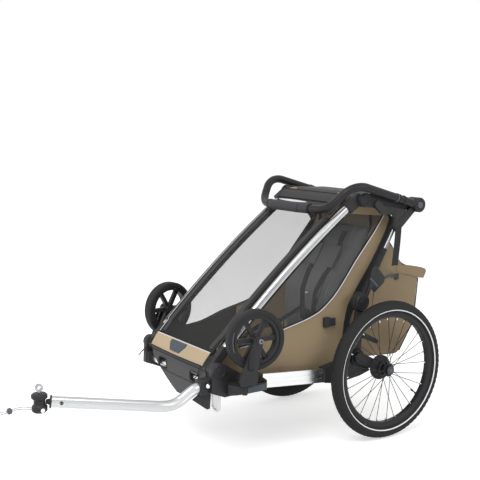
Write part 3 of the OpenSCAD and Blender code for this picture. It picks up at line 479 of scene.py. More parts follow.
def rope_run(side, between):
    """The route from the cup through the bead, on its upper (1) or lower (-1) run."""
    leaving = [(rope_start - d, rope_z + side * rope_apart) for d in (0, 7, 9)]
    lift = up * side
    return leaving + between + [bead_from - lead + lift, bead_from + lift, bead_to + lift,
                                bead_to + lead + lift]


loop = [(-1350, 272.5), (-1376, 271), (-1396, 263), (-1406, 251), (-1402, 240), (-1390, 237), (-1374, 246),
        (-1350, 262.5)]
rope_route = (rope_run(1, [(-1264, 276), (-1282, 278)]) + loop
              + rope_run(-1, [(-1264, 269.5), (-1282, 272)])[::-1])


def smooth_route(points, steps):
    """Points of a smooth curve through every point of a route."""
    p = [np.array(q, float) for q in points]
    out = []
    for i in range(len(p) - 1):
        a, b, c, d = p[max(i - 1, 0)], p[i], p[i + 1], p[min(i + 2, len(p) - 1)]
        for k in range(steps):
            t = k / steps
            out.append(0.5 * (2 * b + (c - a) * t + (2 * a - 5 * b + 4 * c - d) * t ** 2
                              + (3 * b - a - 3 * c + d) * t ** 3))
    return out + [p[-1]]


def no_selection():
    if bpy.context.object and bpy.context.object.mode != "OBJECT":
        bpy.ops.object.mode_set(mode="OBJECT")
    bpy.ops.object.select_all(action="DESELECT")


def pick(piece):
    no_selection()
    piece.select_set(True)
    bpy.context.view_layer.objects.active = piece
    return piece


def tube(name, points, radius, resolution=4, closed=False, flat=None):
    """A round tube along points in metres, made as a bevelled curve and turned into a mesh."""
    line = bpy.data.curves.new(name, "CURVE")
    line.dimensions = "3D"
    line.bevel_depth = radius
    line.bevel_resolution = resolution
    line.use_fill_caps = not closed
    spline = line.splines.new("POLY")
    spline.points.add(len(points) - 1)
    for place, p in zip(spline.points, points):
        place.co = (*p, 1)
    spline.use_cyclic_u = closed
    piece = linked(name, line)
    pick(piece)
    bpy.ops.object.convert(target="MESH")
    piece = bpy.context.object
    bpy.ops.object.shade_smooth()
    return piece


def finish_with(piece, material, body):
    piece.data.materials.clear()
    piece.data.materials.append(material)
    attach(piece, body)
    return piece


rope_points = [at(CUP[0], y, z) for y, z in smooth_route(rope_route, 4)]
lanyard = tube("wire_lanyard", rope_points, LANYARD_D / 2000, 3)


def wire_rope():
    """Twisted strands under a clear sleeve: slanted bands, half metal."""
    f = Finish("wire_rope", (0.110, 0.115, 0.125), 0.38, 0.4, Coat_Weight=0.3)
    x, y, z = split(f, f.place())
    bands = ((y * 2400.0 + z * 2400.0).sine() * 0.5 + 0.5)
    f.set("Base Color", f.tone((0.26, 0.27, 0.29), 0.35, bands))
    f.set("Normal", f.bump(bands, 0.4, 0.0003))
    return f.material


finish_with(lanyard, wire_rope(), "hitch_cup")
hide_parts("lanyard")

# %% [markdown]
# ## Helpers for modelling by hand
# Pieces are made with the same operators that the Blender window offers: add a primitive, choose faces,
# inset, extrude, bevel. An operator works on whatever is selected, so each helper first clears the
# selection. A finished piece has its place in its mesh and its object at the origin.

# %% Modelling helpers


def settle(piece, name=None, angle=40):
    """Applies the piece's place and modifiers, and smooths it by angle."""
    pick(piece)
    for modifier in list(piece.modifiers):
        bpy.ops.object.modifier_apply(modifier=modifier.name)
    bpy.ops.object.transform_apply(location=True, rotation=True, scale=True)
    bpy.ops.object.shade_smooth_by_angle(angle=math.radians(angle))
    if name:
        piece.name = name
    return piece


def bevel(piece, width, segments=2, angle=35):
    modifier = piece.modifiers.new("bevel", "BEVEL")
    modifier.width = width
    modifier.segments = segments
    modifier.limit_method = "ANGLE"
    modifier.angle_limit = math.radians(angle)
    modifier.use_clamp_overlap = True
    return modifier


WELD = 0.00001


def tidy_mesh(piece, weld=0.0):
    """Merges points closer than weld, in metres, and turns every face outwards."""
    pick(piece)
    bpy.ops.object.mode_set(mode="EDIT")
    bpy.ops.mesh.select_all(action="SELECT")
    if weld:
        bpy.ops.mesh.remove_doubles(threshold=weld)
    bpy.ops.mesh.normals_make_consistent(inside=False)
    bpy.ops.object.mode_set(mode="OBJECT")
    return piece


def join(name, pieces):
    no_selection()
    for piece in pieces:
        piece.select_set(True)
    bpy.context.view_layer.objects.active = pieces[0]
    bpy.ops.object.join()
    bpy.context.object.name = name
    return bpy.context.object


def copy_of(piece):
    """A copy with its own mesh."""
    other = piece.copy()
    other.data = piece.data.copy()
    bpy.context.scene.collection.objects.link(other)
    return other


def spread(piece, matrices, name):
    """Copies a piece to each place, each copy with its own mesh, and joins them."""
    copies = []
    for m in matrices:
        other = copy_of(piece)
        other.data.transform(m)
        copies.append(other)
    bpy.data.objects.remove(piece)
    return join(name, copies)


def turned(name, profile, place, axis="X", steps=64):
    """Spins a profile of (radius, offset) points about an axis, as on a lathe."""
    no_selection()
    mesh = bpy.data.meshes.new(name)
    edges = [(i, i + 1) for i in range(len(profile) - 1)]
    mesh.from_pydata([(r / 1000, 0, o / 1000) for r, o in profile], edges, [])
    piece = linked(name, mesh)
    pick(piece)
    bpy.ops.object.mode_set(mode="EDIT")
    bpy.ops.mesh.select_all(action="SELECT")
    bpy.ops.mesh.spin(steps=steps, angle=2 * math.pi, center=(0, 0, 0), axis=(0, 0, 1))
    tidy_mesh(piece, WELD)
    turn = Matrix.Rotation(math.pi / 2, 4, "Y") if axis == "X" else Matrix.Identity(4)
    piece.data.transform(Matrix.Translation(place) @ turn)
    return piece


def grid(name, rows, thickness=0.0, levels=0, closed=False, offset=0.0):
    """A sheet through rows of points in metres, given a thickness and smoothed."""
    count = len(rows[0])
    mesh = bpy.data.meshes.new(name)
    verts = [tuple(p) for row in rows for p in row]
    wide = count if closed else count - 1
    faces = [(j * count + i, j * count + (i + 1) % count, (j + 1) * count + (i + 1) % count,
              (j + 1) * count + i) for j in range(len(rows) - 1) for i in range(wide)]
    mesh.from_pydata(verts, [], faces)
    piece = linked(name, mesh)
    if levels:
        smooth = piece.modifiers.new("smooth", "SUBSURF")
        smooth.levels = smooth.render_levels = levels
    if thickness:
        wall = piece.modifiers.new("wall", "SOLIDIFY")
        wall.thickness = thickness
        wall.offset = offset
    return settle(piece, angle=60)


def box_solid(name, low, high, width=0.0, segments=2):
    no_selection()
    middle = (Vector(low) + Vector(high)) / 2
    bpy.ops.mesh.primitive_cube_add(size=1, location=middle)
    piece = bpy.context.object
    piece.scale = [abs(b - a) for a, b in zip(low, high)]
    if width:
        bpy.ops.object.transform_apply(location=True, rotation=True, scale=True)
        bevel(piece, width, segments)
    return settle(piece, name)


def cut(piece, tools):
    """Takes the tools' volume out of the piece."""
    for tool in tools:
        modifier = piece.modifiers.new("cut", "BOOLEAN")
        modifier.object = tool
        modifier.operation = "DIFFERENCE"
        modifier.solver = "EXACT"
        pick(piece)
        bpy.ops.object.modifier_apply(modifier="cut")
        bpy.data.objects.remove(tool)
    return piece


def pattern_solid(name, outline, holes, x0, x1):
    """A solid from [y, z] outlines, with holes, between two x planes; all in millimetres."""
    flat = bpy.data.curves.new(name, "CURVE")
    flat.dimensions = "2D"
    flat.fill_mode = "BOTH"
    flat.extrude = (x1 - x0) / 2000
    for loop in [outline] + holes:
        spline = flat.splines.new("POLY")
        spline.points.add(len(loop) - 1)
        for place, (y, z) in zip(spline.points, loop):
            place.co = (y / 1000, z / 1000, 0, 1)
        spline.use_cyclic_u = True
    piece = linked(name, flat)
    pick(piece)
    bpy.ops.object.convert(target="MESH")
    piece = bpy.context.object
    turn = Matrix(((0, 0, 1, (x0 + x1) / 2000), (1, 0, 0, AXLE_Y), (0, 1, 0, 0), (0, 0, 0, 1)))
    piece.data.transform(turn)
    return tidy_mesh(piece, WELD)


MIRROR = Matrix.Scale(-1, 4, Vector((1, 0, 0)))


def on_side(piece, s, about=Vector((0, 0, 0))):
    """Leaves a piece drawn for the left where it is, or mirrors it at a point's x when s is -1."""
    if s < 0:
        piece.data.transform(Matrix.Translation(about) @ MIRROR @ Matrix.Translation(-about))
        piece.data.flip_normals()
    return piece


def trim(name, points, radius, material, body="upper_frame", rounds=3, closed=False):
    """A round seam, piping, cord or ring along points, with its finish."""
    return finish_with(tube(name, points, radius, rounds, closed), material, body)


def lathe_part(name, profile, place, s, material, body, steps=48, angle=30, about=Vector((0, 0, 0))):
    """A spun part with its finish, mirrored where it belongs on the right."""
    piece = settle(on_side(turned(name, profile, place, steps=steps), s, about), name, angle)
    return finish_with(piece, material, body)


print("helpers ready")

# %% [markdown]
# ## Softer edges on the moulded parts
# No moulded or cast part has a knife edge: its mould is rounded, and that round catches a thin line of
# light which makes a shape readable. The model's solids have sharp edges, so each such part is copied, its
# loose triangles are merged, flat faces are dissolved into one, and a small bevel is cut along every real
# edge.

# %% Round the moulded parts


def soften(node, body, material, width=1.2):
    piece = pick(copy_of(nodes[node]))
    bpy.ops.object.mode_set(mode="EDIT")
    bpy.ops.mesh.select_all(action="SELECT")
    bpy.ops.mesh.remove_doubles(threshold=0.00002)
    bpy.ops.mesh.dissolve_limited(angle_limit=math.radians(0.8))
    bpy.ops.object.mode_set(mode="OBJECT")
    bevel(piece, width / 1000, 2, 38)
    settle(piece, node + "_rounded", 38)
    finish_with(piece, material, body)
    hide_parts(node)
    return piece


body_of = {n: body for body, members in frame["record"]["behaviour"]["bodies"].items() for n in members}
softened = {
    "front_corner_left": 1.6, "front_corner_right": 1.6, "rear_corner_left": 1.5, "rear_corner_right": 1.5,
    "side_wings": 2.0, "skid_plate": 1.6, "hitch_receiver": 2.0, "pillar_feet": 1.2, "top_castings": 1.6,
    "strut_sleeves": 1.4, "stroller_leg_left": 2.0, "stroller_leg_right": 2.0, "brake_lever": 1.2,
    "hitch_cup": 1.2, "hitch_neck": 0.8,
}
for node, width in softened.items():
    soften(node, body_of[node], casting_black, width)
for node in ("hub_button_left", "hub_button_right", "axle_button_left", "axle_button_right"):
    soften(node, body_of[node], button_grey, 0.8)
soften("wing_reflectors", "base", grey_plate, 0.7)
print(len(softened) + 5, "moulded parts rounded")

# %% [markdown]
# The remaining solids are already the shape of the real parts: extruded rails, bowed tubes, turned rims.
# They keep their meshes and only get their finish.

# %% Finish the parts that keep their shape
kept = {
    aluminium: ["base_rails", "front_crossbar", "front_pillars"],
    arm_aluminium: ["stand_loop", "tow_arm"],
    satin_black: ["rear_crossbeam", "suspension_arm_left", "suspension_arm_right", "rim_left", "rim_right",
                  "hub_and_spokes_left", "hub_and_spokes_right", "handlebar"],
    wheel_black: ["stroller_rim_left", "stroller_rim_right"],
    stroller_rubber: ["stroller_tyre_left", "stroller_tyre_right"],
    casting_black: ["roof_crossbar"],
    grip_rubber: ["handle_grip"],
    bright_steel: ["receiver_pin", "hitch_bolt"],
    satin_steel: ["axle_eye"],
    strut_metal: ["strut_tubes"],
    button_grey: ["lanyard_bead"],
    grey_cloth: ["floor_tray"],
}
for material, members in kept.items():
    for node in members:
        nodes[node].data.materials.clear()
        nodes[node].data.materials.append(material)
        pick(nodes[node])
        bpy.ops.object.shade_smooth_by_angle(angle=math.radians(30))
print(sum(len(m) for m in kept.values()), "solids finished")

# %% [markdown]
# ## Where the cloth hangs
# The two front pillars bow along one large arc, and the cover, its hem and the side walls all follow it.
# This cell repeats that arc, so that cloth can be placed by its share of the way up and its distance from
# the pillars.

# %% The pillars' arc
FOOT, TOP, BOW = np.array((-654.0, 366.0)), np.array((-108.0, 837.0)), 16.5
CHORD = float(np.linalg.norm(TOP - FOOT))
chord_dir = (TOP - FOOT) / CHORD
bow_dir = np.array((-chord_dir[1], chord_dir[0]))
ARC_R = (CHORD ** 2 / 4 + BOW ** 2) / (2 * BOW)
arc_mid_point = (FOOT + TOP) / 2 - bow_dir * (ARC_R - BOW)
arc_half = math.asin(CHORD / 2 / ARC_R)
arc_mid = math.atan2(bow_dir[1], bow_dir[0])


def on_arc(t, out):
    """[y, z] at share t of the way up the pillar, out millimetres in front of its middle line."""
    a = arc_mid + arc_half * (1 - 2 * t)
    return arc_mid_point + (ARC_R + out) * np.array((math.cos(a), math.sin(a)))


COVER = 15.3
print("arc of", round(ARC_R), "mm radius")

# %% [markdown]
# The handlebar is one tube bent by hand-sized radii, with a hub on each end that holds the grey button. Its
# path is a list of corners, and each corner is rounded by an arc that touches both of its sides.

# %% Handlebar


def rounded_path(points, radii, steps=14):
    made = [Vector(points[0])]
    for a, b, c, r in zip(points, points[1:], points[2:], radii):
        a, b, c = Vector(a), Vector(b), Vector(c)
        back, on = (a - b).normalized(), (c - b).normalized()
        half = back.angle(on) / 2
        reach = r / math.tan(half)
        middle = b + (back + on).normalized() * (r / math.sin(half))
        start, end = b + back * reach - middle, b + on * reach - middle
        turn = start.angle(end)
        for k in range(steps + 1):
            t = k / steps
            on_bend = start * math.sin((1 - t) * turn) + end * math.sin(t * turn)
            made.append(middle + on_bend / math.sin(turn))
    return made + [Vector(points[-1])]


BAR_D, HUB_D, HUB_BUTTON_D = 30.0, 54.0, 24.0
BAR_X, GRIP_Y, GRIP_Z = 252.6, -228, 824
half_bar = [(BAR_X, 151, 834.3), (BAR_X, -128, 917), (195.6, -203, GRIP_Z), (78, GRIP_Y, GRIP_Z)]
bar_corners = half_bar + [(-x, y, z) for x, y, z in half_bar[::-1]]
bar = tube("handlebar_tube", [at(*p) for p in rounded_path(bar_corners, [84, 84, 42, 42, 84, 84])],
           BAR_D / 2000, 6)
ends = []
for s in (1, -1):
    r, b = HUB_D / 2, HUB_BUTTON_D / 2 + 0.4
    profile = [(10.5, 251.4), (r - 1.5, 251.4), (r, 253), (r, 264), (r - 0.8, 266), (r - 2.6, 267),
               (b + 1.2, 267), (b, 266), (b, 258.8), (10.5, 258.8), (10.5, 251.4)]
    hub = turned("hub", profile, at(0, 170, 829), steps=72)
    on_side(hub, s)
    ends.append(settle(hub, angle=30))
bar = join("handlebar_tube", [bar] + ends)
finish_with(bar, satin_black, "handlebar")
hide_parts("handlebar")
for piece in [o for o in bpy.data.objects if o.name == "top_castings_rounded"]:
    for s in (1, -1):
        web = [(-70, 812), (29, 802), (58, 796), (62, 776), (57, 764), (55, 752), (58, 740), (62, 715),
               (-70, 715)]
        ring = [(0.84, 34), (0.90, 34), (0.972, 30), (0.972, -34), (0.90, -36), (0.84, -36)]
        for outline, x0, x1 in ((web, 239.5, 264), ([tuple(on_arc(t, out)) for t, out in ring], 188, 262)):
            cut(piece, [pattern_solid("tool", outline, [], min(s * x0, s * x1), max(s * x0, s * x1))])
    settle(piece, angle=38)
print("handlebar made")

# %% [markdown]
# ## Tyres
# A tyre is a ring, so its section is drawn once and spun about the axle. Two details make it a trailer
# tyre: a pale reflective line on the sidewall and small rounded blocks on the shoulders. One block is
# modelled and copied round.

# %% Tyre carcass, reflective line and tread
WHEEL_X, HUB_Z = 294.5, 250.0
BLOCKS = 76


def tyre(side, s):
    body = "wheel_" + side
    hub = at(s * WHEEL_X, 0, HUB_Z)
    profile = [(209.5, -9), (209.6, -12.5), (213, -17), (219, -21.6), (226, -23.2), (233, -21.8), (239, -18),
               (244.4, -12), (247.4, -6), (248.4, 0)]
    profile = profile + [(r, -o) for r, o in profile[-2::-1]]
    carcass = lathe_part("tyre_carcass_" + side, profile + [profile[0]], hub, 1, tyre_rubber, body,
                         128, 60)
    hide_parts("tyre_" + side)
    line = [(215.6, 19.9), (216.0, 20.6), (218.8, 22.2), (219.4, 21.9), (215.6, 19.9)]
    lathe_part("reflective_line_" + side, line, hub, s, white_line, body, 128, 60, hub)
    bpy.ops.mesh.primitive_cube_add(size=1, location=(0, 0, 0))
    block = bpy.context.object
    block.scale = (0.0052, 0.0115, 0.0022)
    bevel(block, 0.0007, 1)
    settle(block)
    places = []
    rows = ((0.0, 247.7, 0, 0.0), (8.2, 245.9, 24, 0.5), (-8.2, 245.9, -24, 0.5), (16.2, 240.7, 46, 0.0),
            (-16.2, 240.7, -46, 0.0))
    for across, radius, lean, shift in rows:
        for i in range(BLOCKS):
            a = 2 * math.pi * (i + shift) / BLOCKS
            places.append(Matrix.Translation(hub) @ Matrix.Rotation(a, 4, "X")
                          @ Matrix.Translation((across / 1000, 0, radius / 1000))
                          @ Matrix.Rotation(math.radians(lean), 4, "Y"))
    tread = spread(block, places, "tread_blocks_" + side)
    finish_with(tread, tyre_rubber, body)
    return carcass


white_line = moulded("reflective_line", (0.72, 0.73, 0.74), 0.42, grain=900.0, depth=0.05, spread=0.05)
tyre("left", 1)
tyre("right", -1)

# %% [markdown]
# Where a spoke meets the rim it screws into a nipple, a small bright barrel. A valve stem stands there too.

# %% Spoke nipples, valve and hub rings
SPOKES = 28
NIPPLE_R = 0.1845


def wheel_trim(side, s):
    body = "wheel_" + side
    hub = at(s * WHEEL_X, 0, HUB_Z)
    no_selection()
    bpy.ops.mesh.primitive_cylinder_add(vertices=10, radius=0.0021, depth=0.011, location=(0, 0, 0))
    nipple = bpy.context.object
    bevel(nipple, 0.0006, 1)
    settle(nipple)
    places = []
    for i in range(SPOKES):
        a = 2 * math.pi * i / SPOKES
        across = (3 if i % 2 else -3) * s / 1000
        out_to_rim = Matrix.Rotation(a, 4, "X") @ Matrix.Translation((across, 0, NIPPLE_R))
        places.append(Matrix.Translation(hub) @ out_to_rim)
    nipples = spread(nipple, places, "spoke_nipples_" + side)
    finish_with(nipples, bright_steel, body)
    valve = turned("valve", [(0.2, 0), (3.0, 0), (3.0, 12), (2.3, 14), (2.3, 26), (3.4, 27), (3.4, 36),
                             (2.4, 39), (0.2, 39)], Vector((0, 0, 0)), axis="Z", steps=16)
    angle = math.radians(-128)
    valve.data.transform(Matrix.Translation(hub) @ Matrix.Rotation(angle, 4, "X")
                         @ Matrix.Translation((0, 0, 0.190)) @ Matrix.Rotation(math.pi, 4, "X"))
    settle(valve, "valve_" + side)
    finish_with(valve, soft_black, body)
    ring = [(9.5, 20.2), (9.5, 21.4), (10.5, 22.2), (14.0, 22.0), (15.4, 20.2)]
    lathe_part("hub_ring_" + side, ring, hub, s, grey_plate, body, 40, 40, hub)


wheel_trim("left", 1)
wheel_trim("right", -1)
print("wheel trim made")

# %% [markdown]
# The two pillars are extrusions with grooves along them. The grooves follow the pillar's bow, so the finish
# is written in the bow's own measure: the distance from the arc's centre, less its radius, is zero on the
# pillar's middle line.

# %% Grooved pillars
f = Finish("grooved_aluminium", (0.80, 0.805, 0.81), 0.24, 1.0)
x, y, z = split(f, f.place())
from_y = y - (float(arc_mid_point[0]) / 1000 + AXLE_Y)
from_z = z - float(arc_mid_point[1]) / 1000
across = (from_y * from_y + from_z * from_z).power(0.5) - ARC_R / 1000
cloud = f.noise(18.0, 3.0)
# The base colour goes dark in the two grooves as painted shade, next to the bump that gives them depth, and
# also along a line near the rear edge.
broad_groove = (1 - ((across - 0.0050).size() * 170.0).clamped()) * 0.70
fine_groove = (1 - ((across + 0.0012).size() * 700.0).clamped()) * 0.60
rear_edge_line = (1 - ((across + 0.0105).size() * 400.0).clamped()) * 0.5
groove = (broad_groove + fine_groove + rear_edge_line).clamped()
f.set("Base Color", f.blend((0.50, 0.505, 0.51, 1), (0.07, 0.072, 0.075, 1), groove + cloud * 0.05))
f.set("Roughness", cloud * 0.08 + 0.20)
f.set("Normal", f.bump(1 - groove, 0.4, 0.0012))
pillar_metal = f.material
nodes["front_pillars"].data.materials.clear()
nodes["front_pillars"].data.materials.append(pillar_metal)
print("pillar finish made")

# %% [markdown]
# ## Front cover
# The cover is one continuous sheet of tinted film, stretched between the pillars with a slight crown and
# gentle waves towards its lower corners. Black binding runs down both edges, and a thin reflective piping
# lies along it.

# %% Front cover


def cover_point(u, t, out=0.0):
    """A point of the cover: u runs from -1 on the right to 1 on the left, t from bottom to top."""
    half = 196.5 if 0.075 < t < 0.875 else 187.5
    crown = 2.2 * (1 - u * u) * math.sin(math.pi * min(1, max(0, t)))
    wave = 1.1 * math.sin(9 * u + 5 * t) * math.exp(-((t - 0.12) / 0.14) ** 2) * (1 - u * u)
    wave += 0.8 * math.sin(7 * (u + 1.2 * t)) * math.exp(-((t - 0.85) / 0.12) ** 2) * (1 - u * u)
    y, z = on_arc(t, COVER + 1.6 + crown + wave + out)
    return at(u * half, y, z)


ts = ([0.004, 0.03, 0.0601, 0.0649, 0.0751, 0.08] + [0.08 + 0.79 * i / 30 for i in range(1, 31)]
      + [0.8749, 0.8851, 0.93, 0.982])
us = span(28)
cover = grid("front_cover_film", [[cover_point(u, t) for u in us] for t in ts], 0.0011, 1)
finish_with(cover, front_film, "upper_frame")
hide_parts("front_cover")


def edge_strip(name, u0, u1, t0, t1, out, material, thick=0.0016, steps=40, columns=4):
    rows = [[cover_point(u0 + (u1 - u0) * i / columns, t0 + (t1 - t0) * j / steps, out)
             for i in range(columns + 1)] for j in range(steps + 1)]
    piece = grid(name, rows, thick, 0)
    return finish_with(piece, material, "upper_frame")


bindings = []
for side, s in SIDES:
    bindings.append(edge_strip("cover_binding_" + side, s * 0.915, s * 1.0, 0.076, 0.874, 1.0, black_binding))
    bindings.append(edge_strip("cover_binding_foot_" + side, s * 0.93, s * 1.0, 0.004, 0.074, 1.0,
                               black_binding, steps=6))
    bindings.append(edge_strip("cover_band_" + side, s * 0.80, s * 0.914, 0.02, 0.86, 0.5, roof_cloth,
                               0.0008))
    path = [cover_point(s * 0.955, 0.01 + 0.86 * i / 40, 2.2) for i in range(41)]
    line = trim("cover_piping_" + side, path, 0.0011, white_piping if s < 0 else black_binding, "upper_frame",
                rounds=2)
    bindings.append(line)
top_band = edge_strip("cover_top_band", -0.98, 0.98, 0.90, 0.98, 1.0, roof_cloth, 0.0014, 8, 20)
bindings.append(top_band)
print("front cover", len(cover.data.polygons), "faces")

# %% [markdown]
# The cover rolls up when its hem is raised. A rolled sheet can't be followed by a hinge. This cell finds the
# cover's top edge and the line along which it would roll, and gives the film and its trims meshes of their
# own.

# %% The cover's top edge and roll line
cover_end = at(0, *on_arc(0.982, COVER))
roll_axis = tuple(Vector((0, *(float(q) for q in chord_dir + 0.018 * bow_dir))).normalized())
for piece in [cover] + bindings:
    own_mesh(piece)

# %% [markdown]
# ## Hem of the front cover
# The hem is a stiff tan band across the front, curved down a little in the middle and bound in black at its
# foot. A bare grey plate is sewn to its middle, and the band is held down at both corners by elastic cords
# on hooks.

# %% Hem band
hem_top = on_arc(0, COVER + 1) - chord_dir * 0.3


def hem_point(u, v, out=0.0):
    """u from -1 to 1 across, v from 0 at the foot to 1 at the top edge."""
    top, foot = np.array((hem_top[0] - 2.4, hem_top[1] + 2.4)), np.array((-698.5, 338.5))
    line = foot + (top - foot) * v
    normal = np.array((-(top - foot)[1], (top - foot)[0])) / np.linalg.norm(top - foot)
    belly = 2.0 * math.sin(math.pi * v) * (1 - 0.5 * u * u)
    y, z = line + normal * (belly + out) + np.array((0, -3.0 * (1 - u * u) * (1 - v)))
    return at(u * (180 - 5 * (1 - v)), y, z)


rows = [[hem_point(u, j / 8) for u in span(30)] for j in range(9)]
hem = grid("hem_band", rows, 0.0022, 1)
# The hem band and its ends take the lighter copy of the tan cloth, painted light.
finish_with(hem, tan_hem_painted_lit, "cover_hem")
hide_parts("cover_hem")
for name, v, out, material, radius in (("hem_piping", 1.0, 0.6, white_piping, 0.0016),
                                       ("hem_foot_binding", 0.0, 0.4, black_binding, 0.0026)):
    line = trim(name, [hem_point(u, v, out) for u in span(40)], radius, material, "cover_hem")
for name, u in (("hem_end_left", 1.0), ("hem_end_right", -1.0)):
    line = trim(name, [hem_point(u, j / 10, 0.6) for j in range(11)], 0.0018, tan_hem_painted_lit, "cover_hem")
plate_rows = []
for j in range(7):
    v = 0.20 + 0.72 * j / 6
    half = 0.175 + 0.115 * min(1, j / 4)
    plate_rows.append([hem_point(-half + 2 * half * i / 10 - 0.09, v, 1.9) for i in range(11)])
plate = grid("hem_plate", plate_rows, 0.0026, 0)
bevel(plate, 0.0006, 2)
settle(plate, "hem_plate")
finish_with(plate, grey_plate, "cover_hem")
print("hem band made")

# %% [markdown]
# ## Nose panel
# Below the hem, a dark grey panel closes the front of the floor. It is stitched cloth over a stiff sheet,
# bent in a shallow keel, with two openings where the round crossbar shows. Each opening gets a bound edge.

# %% Nose panel
nose_line = [(-694, 337), (-692, 327), (-689.6, 316), (-688.4, 306), (-687.6, 294), (-687.6, 272),
             (-687.4, 250), (-686, 232), (-684.5, 214), (-683, 199)]
nose_shape = [(1, 345), (1, 304), (0.80, 272), (0.56, 246), (0.28, 214), (0.10, 199), (0, 190)]
openings = [(-138, 56, 268, 36), (82, 56, 268, 36)]


def nose_half(z):
    heights = [q[1] for q in nose_shape[::-1]]
    return 184 * float(np.interp(z, heights, [q[0] for q in nose_shape[::-1]]))


def nose_point(u, z, out=0.0):
    y = float(np.interp(z, [q[1] for q in nose_line[::-1]], [q[0] for q in nose_line[::-1]]))
    belly = 1.6 * math.sin(math.pi * min(1, max(0, (z - 200) / 130))) * (1 - u * u) + 0.5 * math.sin(z / 9)
    return at(u * nose_half(z), y - out + 1.8 - belly, z)


heights = list(np.linspace(336.5, 200, 22))
rows = [[nose_point(u, z) for u in span(40)] for z in heights]
nose = grid("nose_cloth", rows, 0.0034, 1)
cut(nose, [box_solid("tool", at(x, -760, z), at(x + w, -660, z + h), 0.008, 4) for x, w, z, h in openings])
settle(nose, "nose_cloth", 50)
finish_with(nose, grey_cloth, "base")
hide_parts("nose_panel")
for x, w, z, h in openings:
    ring = []
    for i in range(48):
        a = 2 * math.pi * i / 48
        ex, ez = (math.copysign(abs(c) ** 0.45, c) for c in (math.cos(a), math.sin(a)))
        height = z + h / 2 + ez * h / 2
        ring.append(at(x + w / 2 + ex * w / 2, -689.6, height))
    line = trim("nose_opening_binding", ring, 0.0017, black_binding, "base", rounds=2,
                closed=True)
for name, z, r in (("nose_seam_upper", 322, 0.0013), ("nose_seam_lower", 262, 0.0010)):
    line = trim(name, [nose_point(-0.99 + 1.98 * i / 40, z, 2.0) for i in range(41)], r, black_binding,
                "base", rounds=2)
print("nose panel made")

# %% [markdown]
# ## Side walls
# Each side wall is one tan cloth with a large film window let into it. The wall is cut as a tailor would: a
# flat sheet with enough faces to bend, and a pattern that is taken out of it in one cut. After the cut, its
# points move a few millimetres outwards where the cloth is free, and its lower edge stays on the rail.

# %% Cut cloth from a pattern
WALL_X, FILM_X = 188.2, 185.6


def spline_points(points, steps=6):
    return [tuple(p) for p in smooth_route(points, steps)]


def cloth_wall(name, outline, holes, x, thick, step=9.0):
    """Cloth in a side plane: a finely divided sheet, cut to the pattern."""
    ys, zs = [p[0] for p in outline], [p[1] for p in outline]
    low, high = (min(ys) - 5, min(zs) - 5), (max(ys) + 5, max(zs) + 5)
    wide, tall = high[0] - low[0], high[1] - low[1]
    no_selection()
    bpy.ops.mesh.primitive_grid_add(x_subdivisions=int(wide / step), y_subdivisions=int(tall / step), size=1)
    piece = bpy.context.object
    middle = at(x, (low[0] + high[0]) / 2, (low[1] + high[1]) / 2)
    upright = Matrix(((0, 0, 1, 0), (1, 0, 0, 0), (0, 1, 0, 0), (0, 0, 0, 1)))
    to_size = Matrix.Diagonal((wide / 1000, tall / 1000, 1, 1))
    piece.data.transform(Matrix.Translation(middle) @ upright @ to_size)
    wall = piece.modifiers.new("wall", "SOLIDIFY")
    wall.thickness = thick / 1000
    wall.offset = 0
    tool = pattern_solid("pattern", outline, holes, x - 10, x + 10)
    modifier = piece.modifiers.new("cut", "BOOLEAN")
    modifier.object = tool
    modifier.operation = "INTERSECT"
    modifier.solver = "EXACT"
    settle(piece, name, 50)
    bpy.data.objects.remove(tool)
    return piece


def push(piece, amount):
    """Moves each point along x by amount(y, z) millimetres, x and y and z in the axle's frame."""
    for v in piece.data.vertices:
        y, z = (v.co.y - AXLE_Y) * 1000, v.co.z * 1000
        v.co.x += amount(y, z) / 1000
    piece.data.update()


edge = [tuple(on_arc(0.03 + 0.955 * i / 16, COVER - 0.4)) for i in range(17)]
rear_edge = [(86, 796), (112, 776), (126, 756), (96, 697), (40, 612), (-42, 502), (-82, 438), (-106, 345),
             (-112.3, 257.6)]
wall_outline = edge + [(-99, 869), (62, 802.5)] + rear_edge + [(-560, 257.6), (-630, 300)]
sill = spline_points([(62, 790), (24, 738), (-22, 684), (-67, 632), (-147, 532), (-214, 475), (-268, 452),
                      (-322, 438), (-390, 422), (-481, 393), (-560, 384)], 4)
window_outline = sill + [tuple(on_arc(0.12 + 0.84 * i / 12, -15)) for i in range(13)]


def away_from_pillar(y, z):
    """0 at the pillar and at the wall's rear edge, 1 well away from both."""
    from_pillar = np.min([math.hypot(y - q[0], z - q[1]) for q in pillar_line])
    from_floor = (z - 262) / 50
    from_rear = (-100 + (z - 500) * (170 / 297 if z > 500 else 12 / 243) - y) / 60
    return max(0.0, min(1.0, (from_pillar - 24) / 70, from_floor, from_rear))


pillar_line = [tuple(on_arc(i / 30, 0)) for i in range(31)]


def wall_bulge(y, z):
    soft = 5.5 * math.exp(-(((y + 260) / 170) ** 2 + ((z - 345) / 60) ** 2))
    folds = 1.0 * math.sin((y * 0.8 - z) / 21) * math.exp(-((z - 300) / 45) ** 2)
    return (soft + folds) * away_from_pillar(y, z)


walls = []
for side, s in SIDES:
    wall = cloth_wall("side_wall_" + side, wall_outline, [window_outline], WALL_X, 2.6)
    push(wall, wall_bulge)
    on_side(wall, s)
    finish_with(wall, tan_cloth, "upper_frame")
    wall.data.materials.append(lining_painted_lit)
    wall.data.materials.append(dark_lining)
    for face in wall.data.polygons:
        # Inner faces at the lower front get the lining's lit copy, painted light; the other inner faces get
        # its near-black copy, painted shade.
        if face.normal.x * s < -0.5:
            shown = face.center.y - AXLE_Y > -0.33 and face.center.z < 0.60
            face.material_index = 1 if shown else 2
    walls.append(wall)
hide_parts("side_panels")
print("side wall", len(walls[0].data.polygons), "faces")

# %% [markdown]
# The window film is sewn behind the wall's opening, so it is a little larger than it. A bright piping with
# a black binding runs along the seam; a tube follows the same smooth line as the cut.

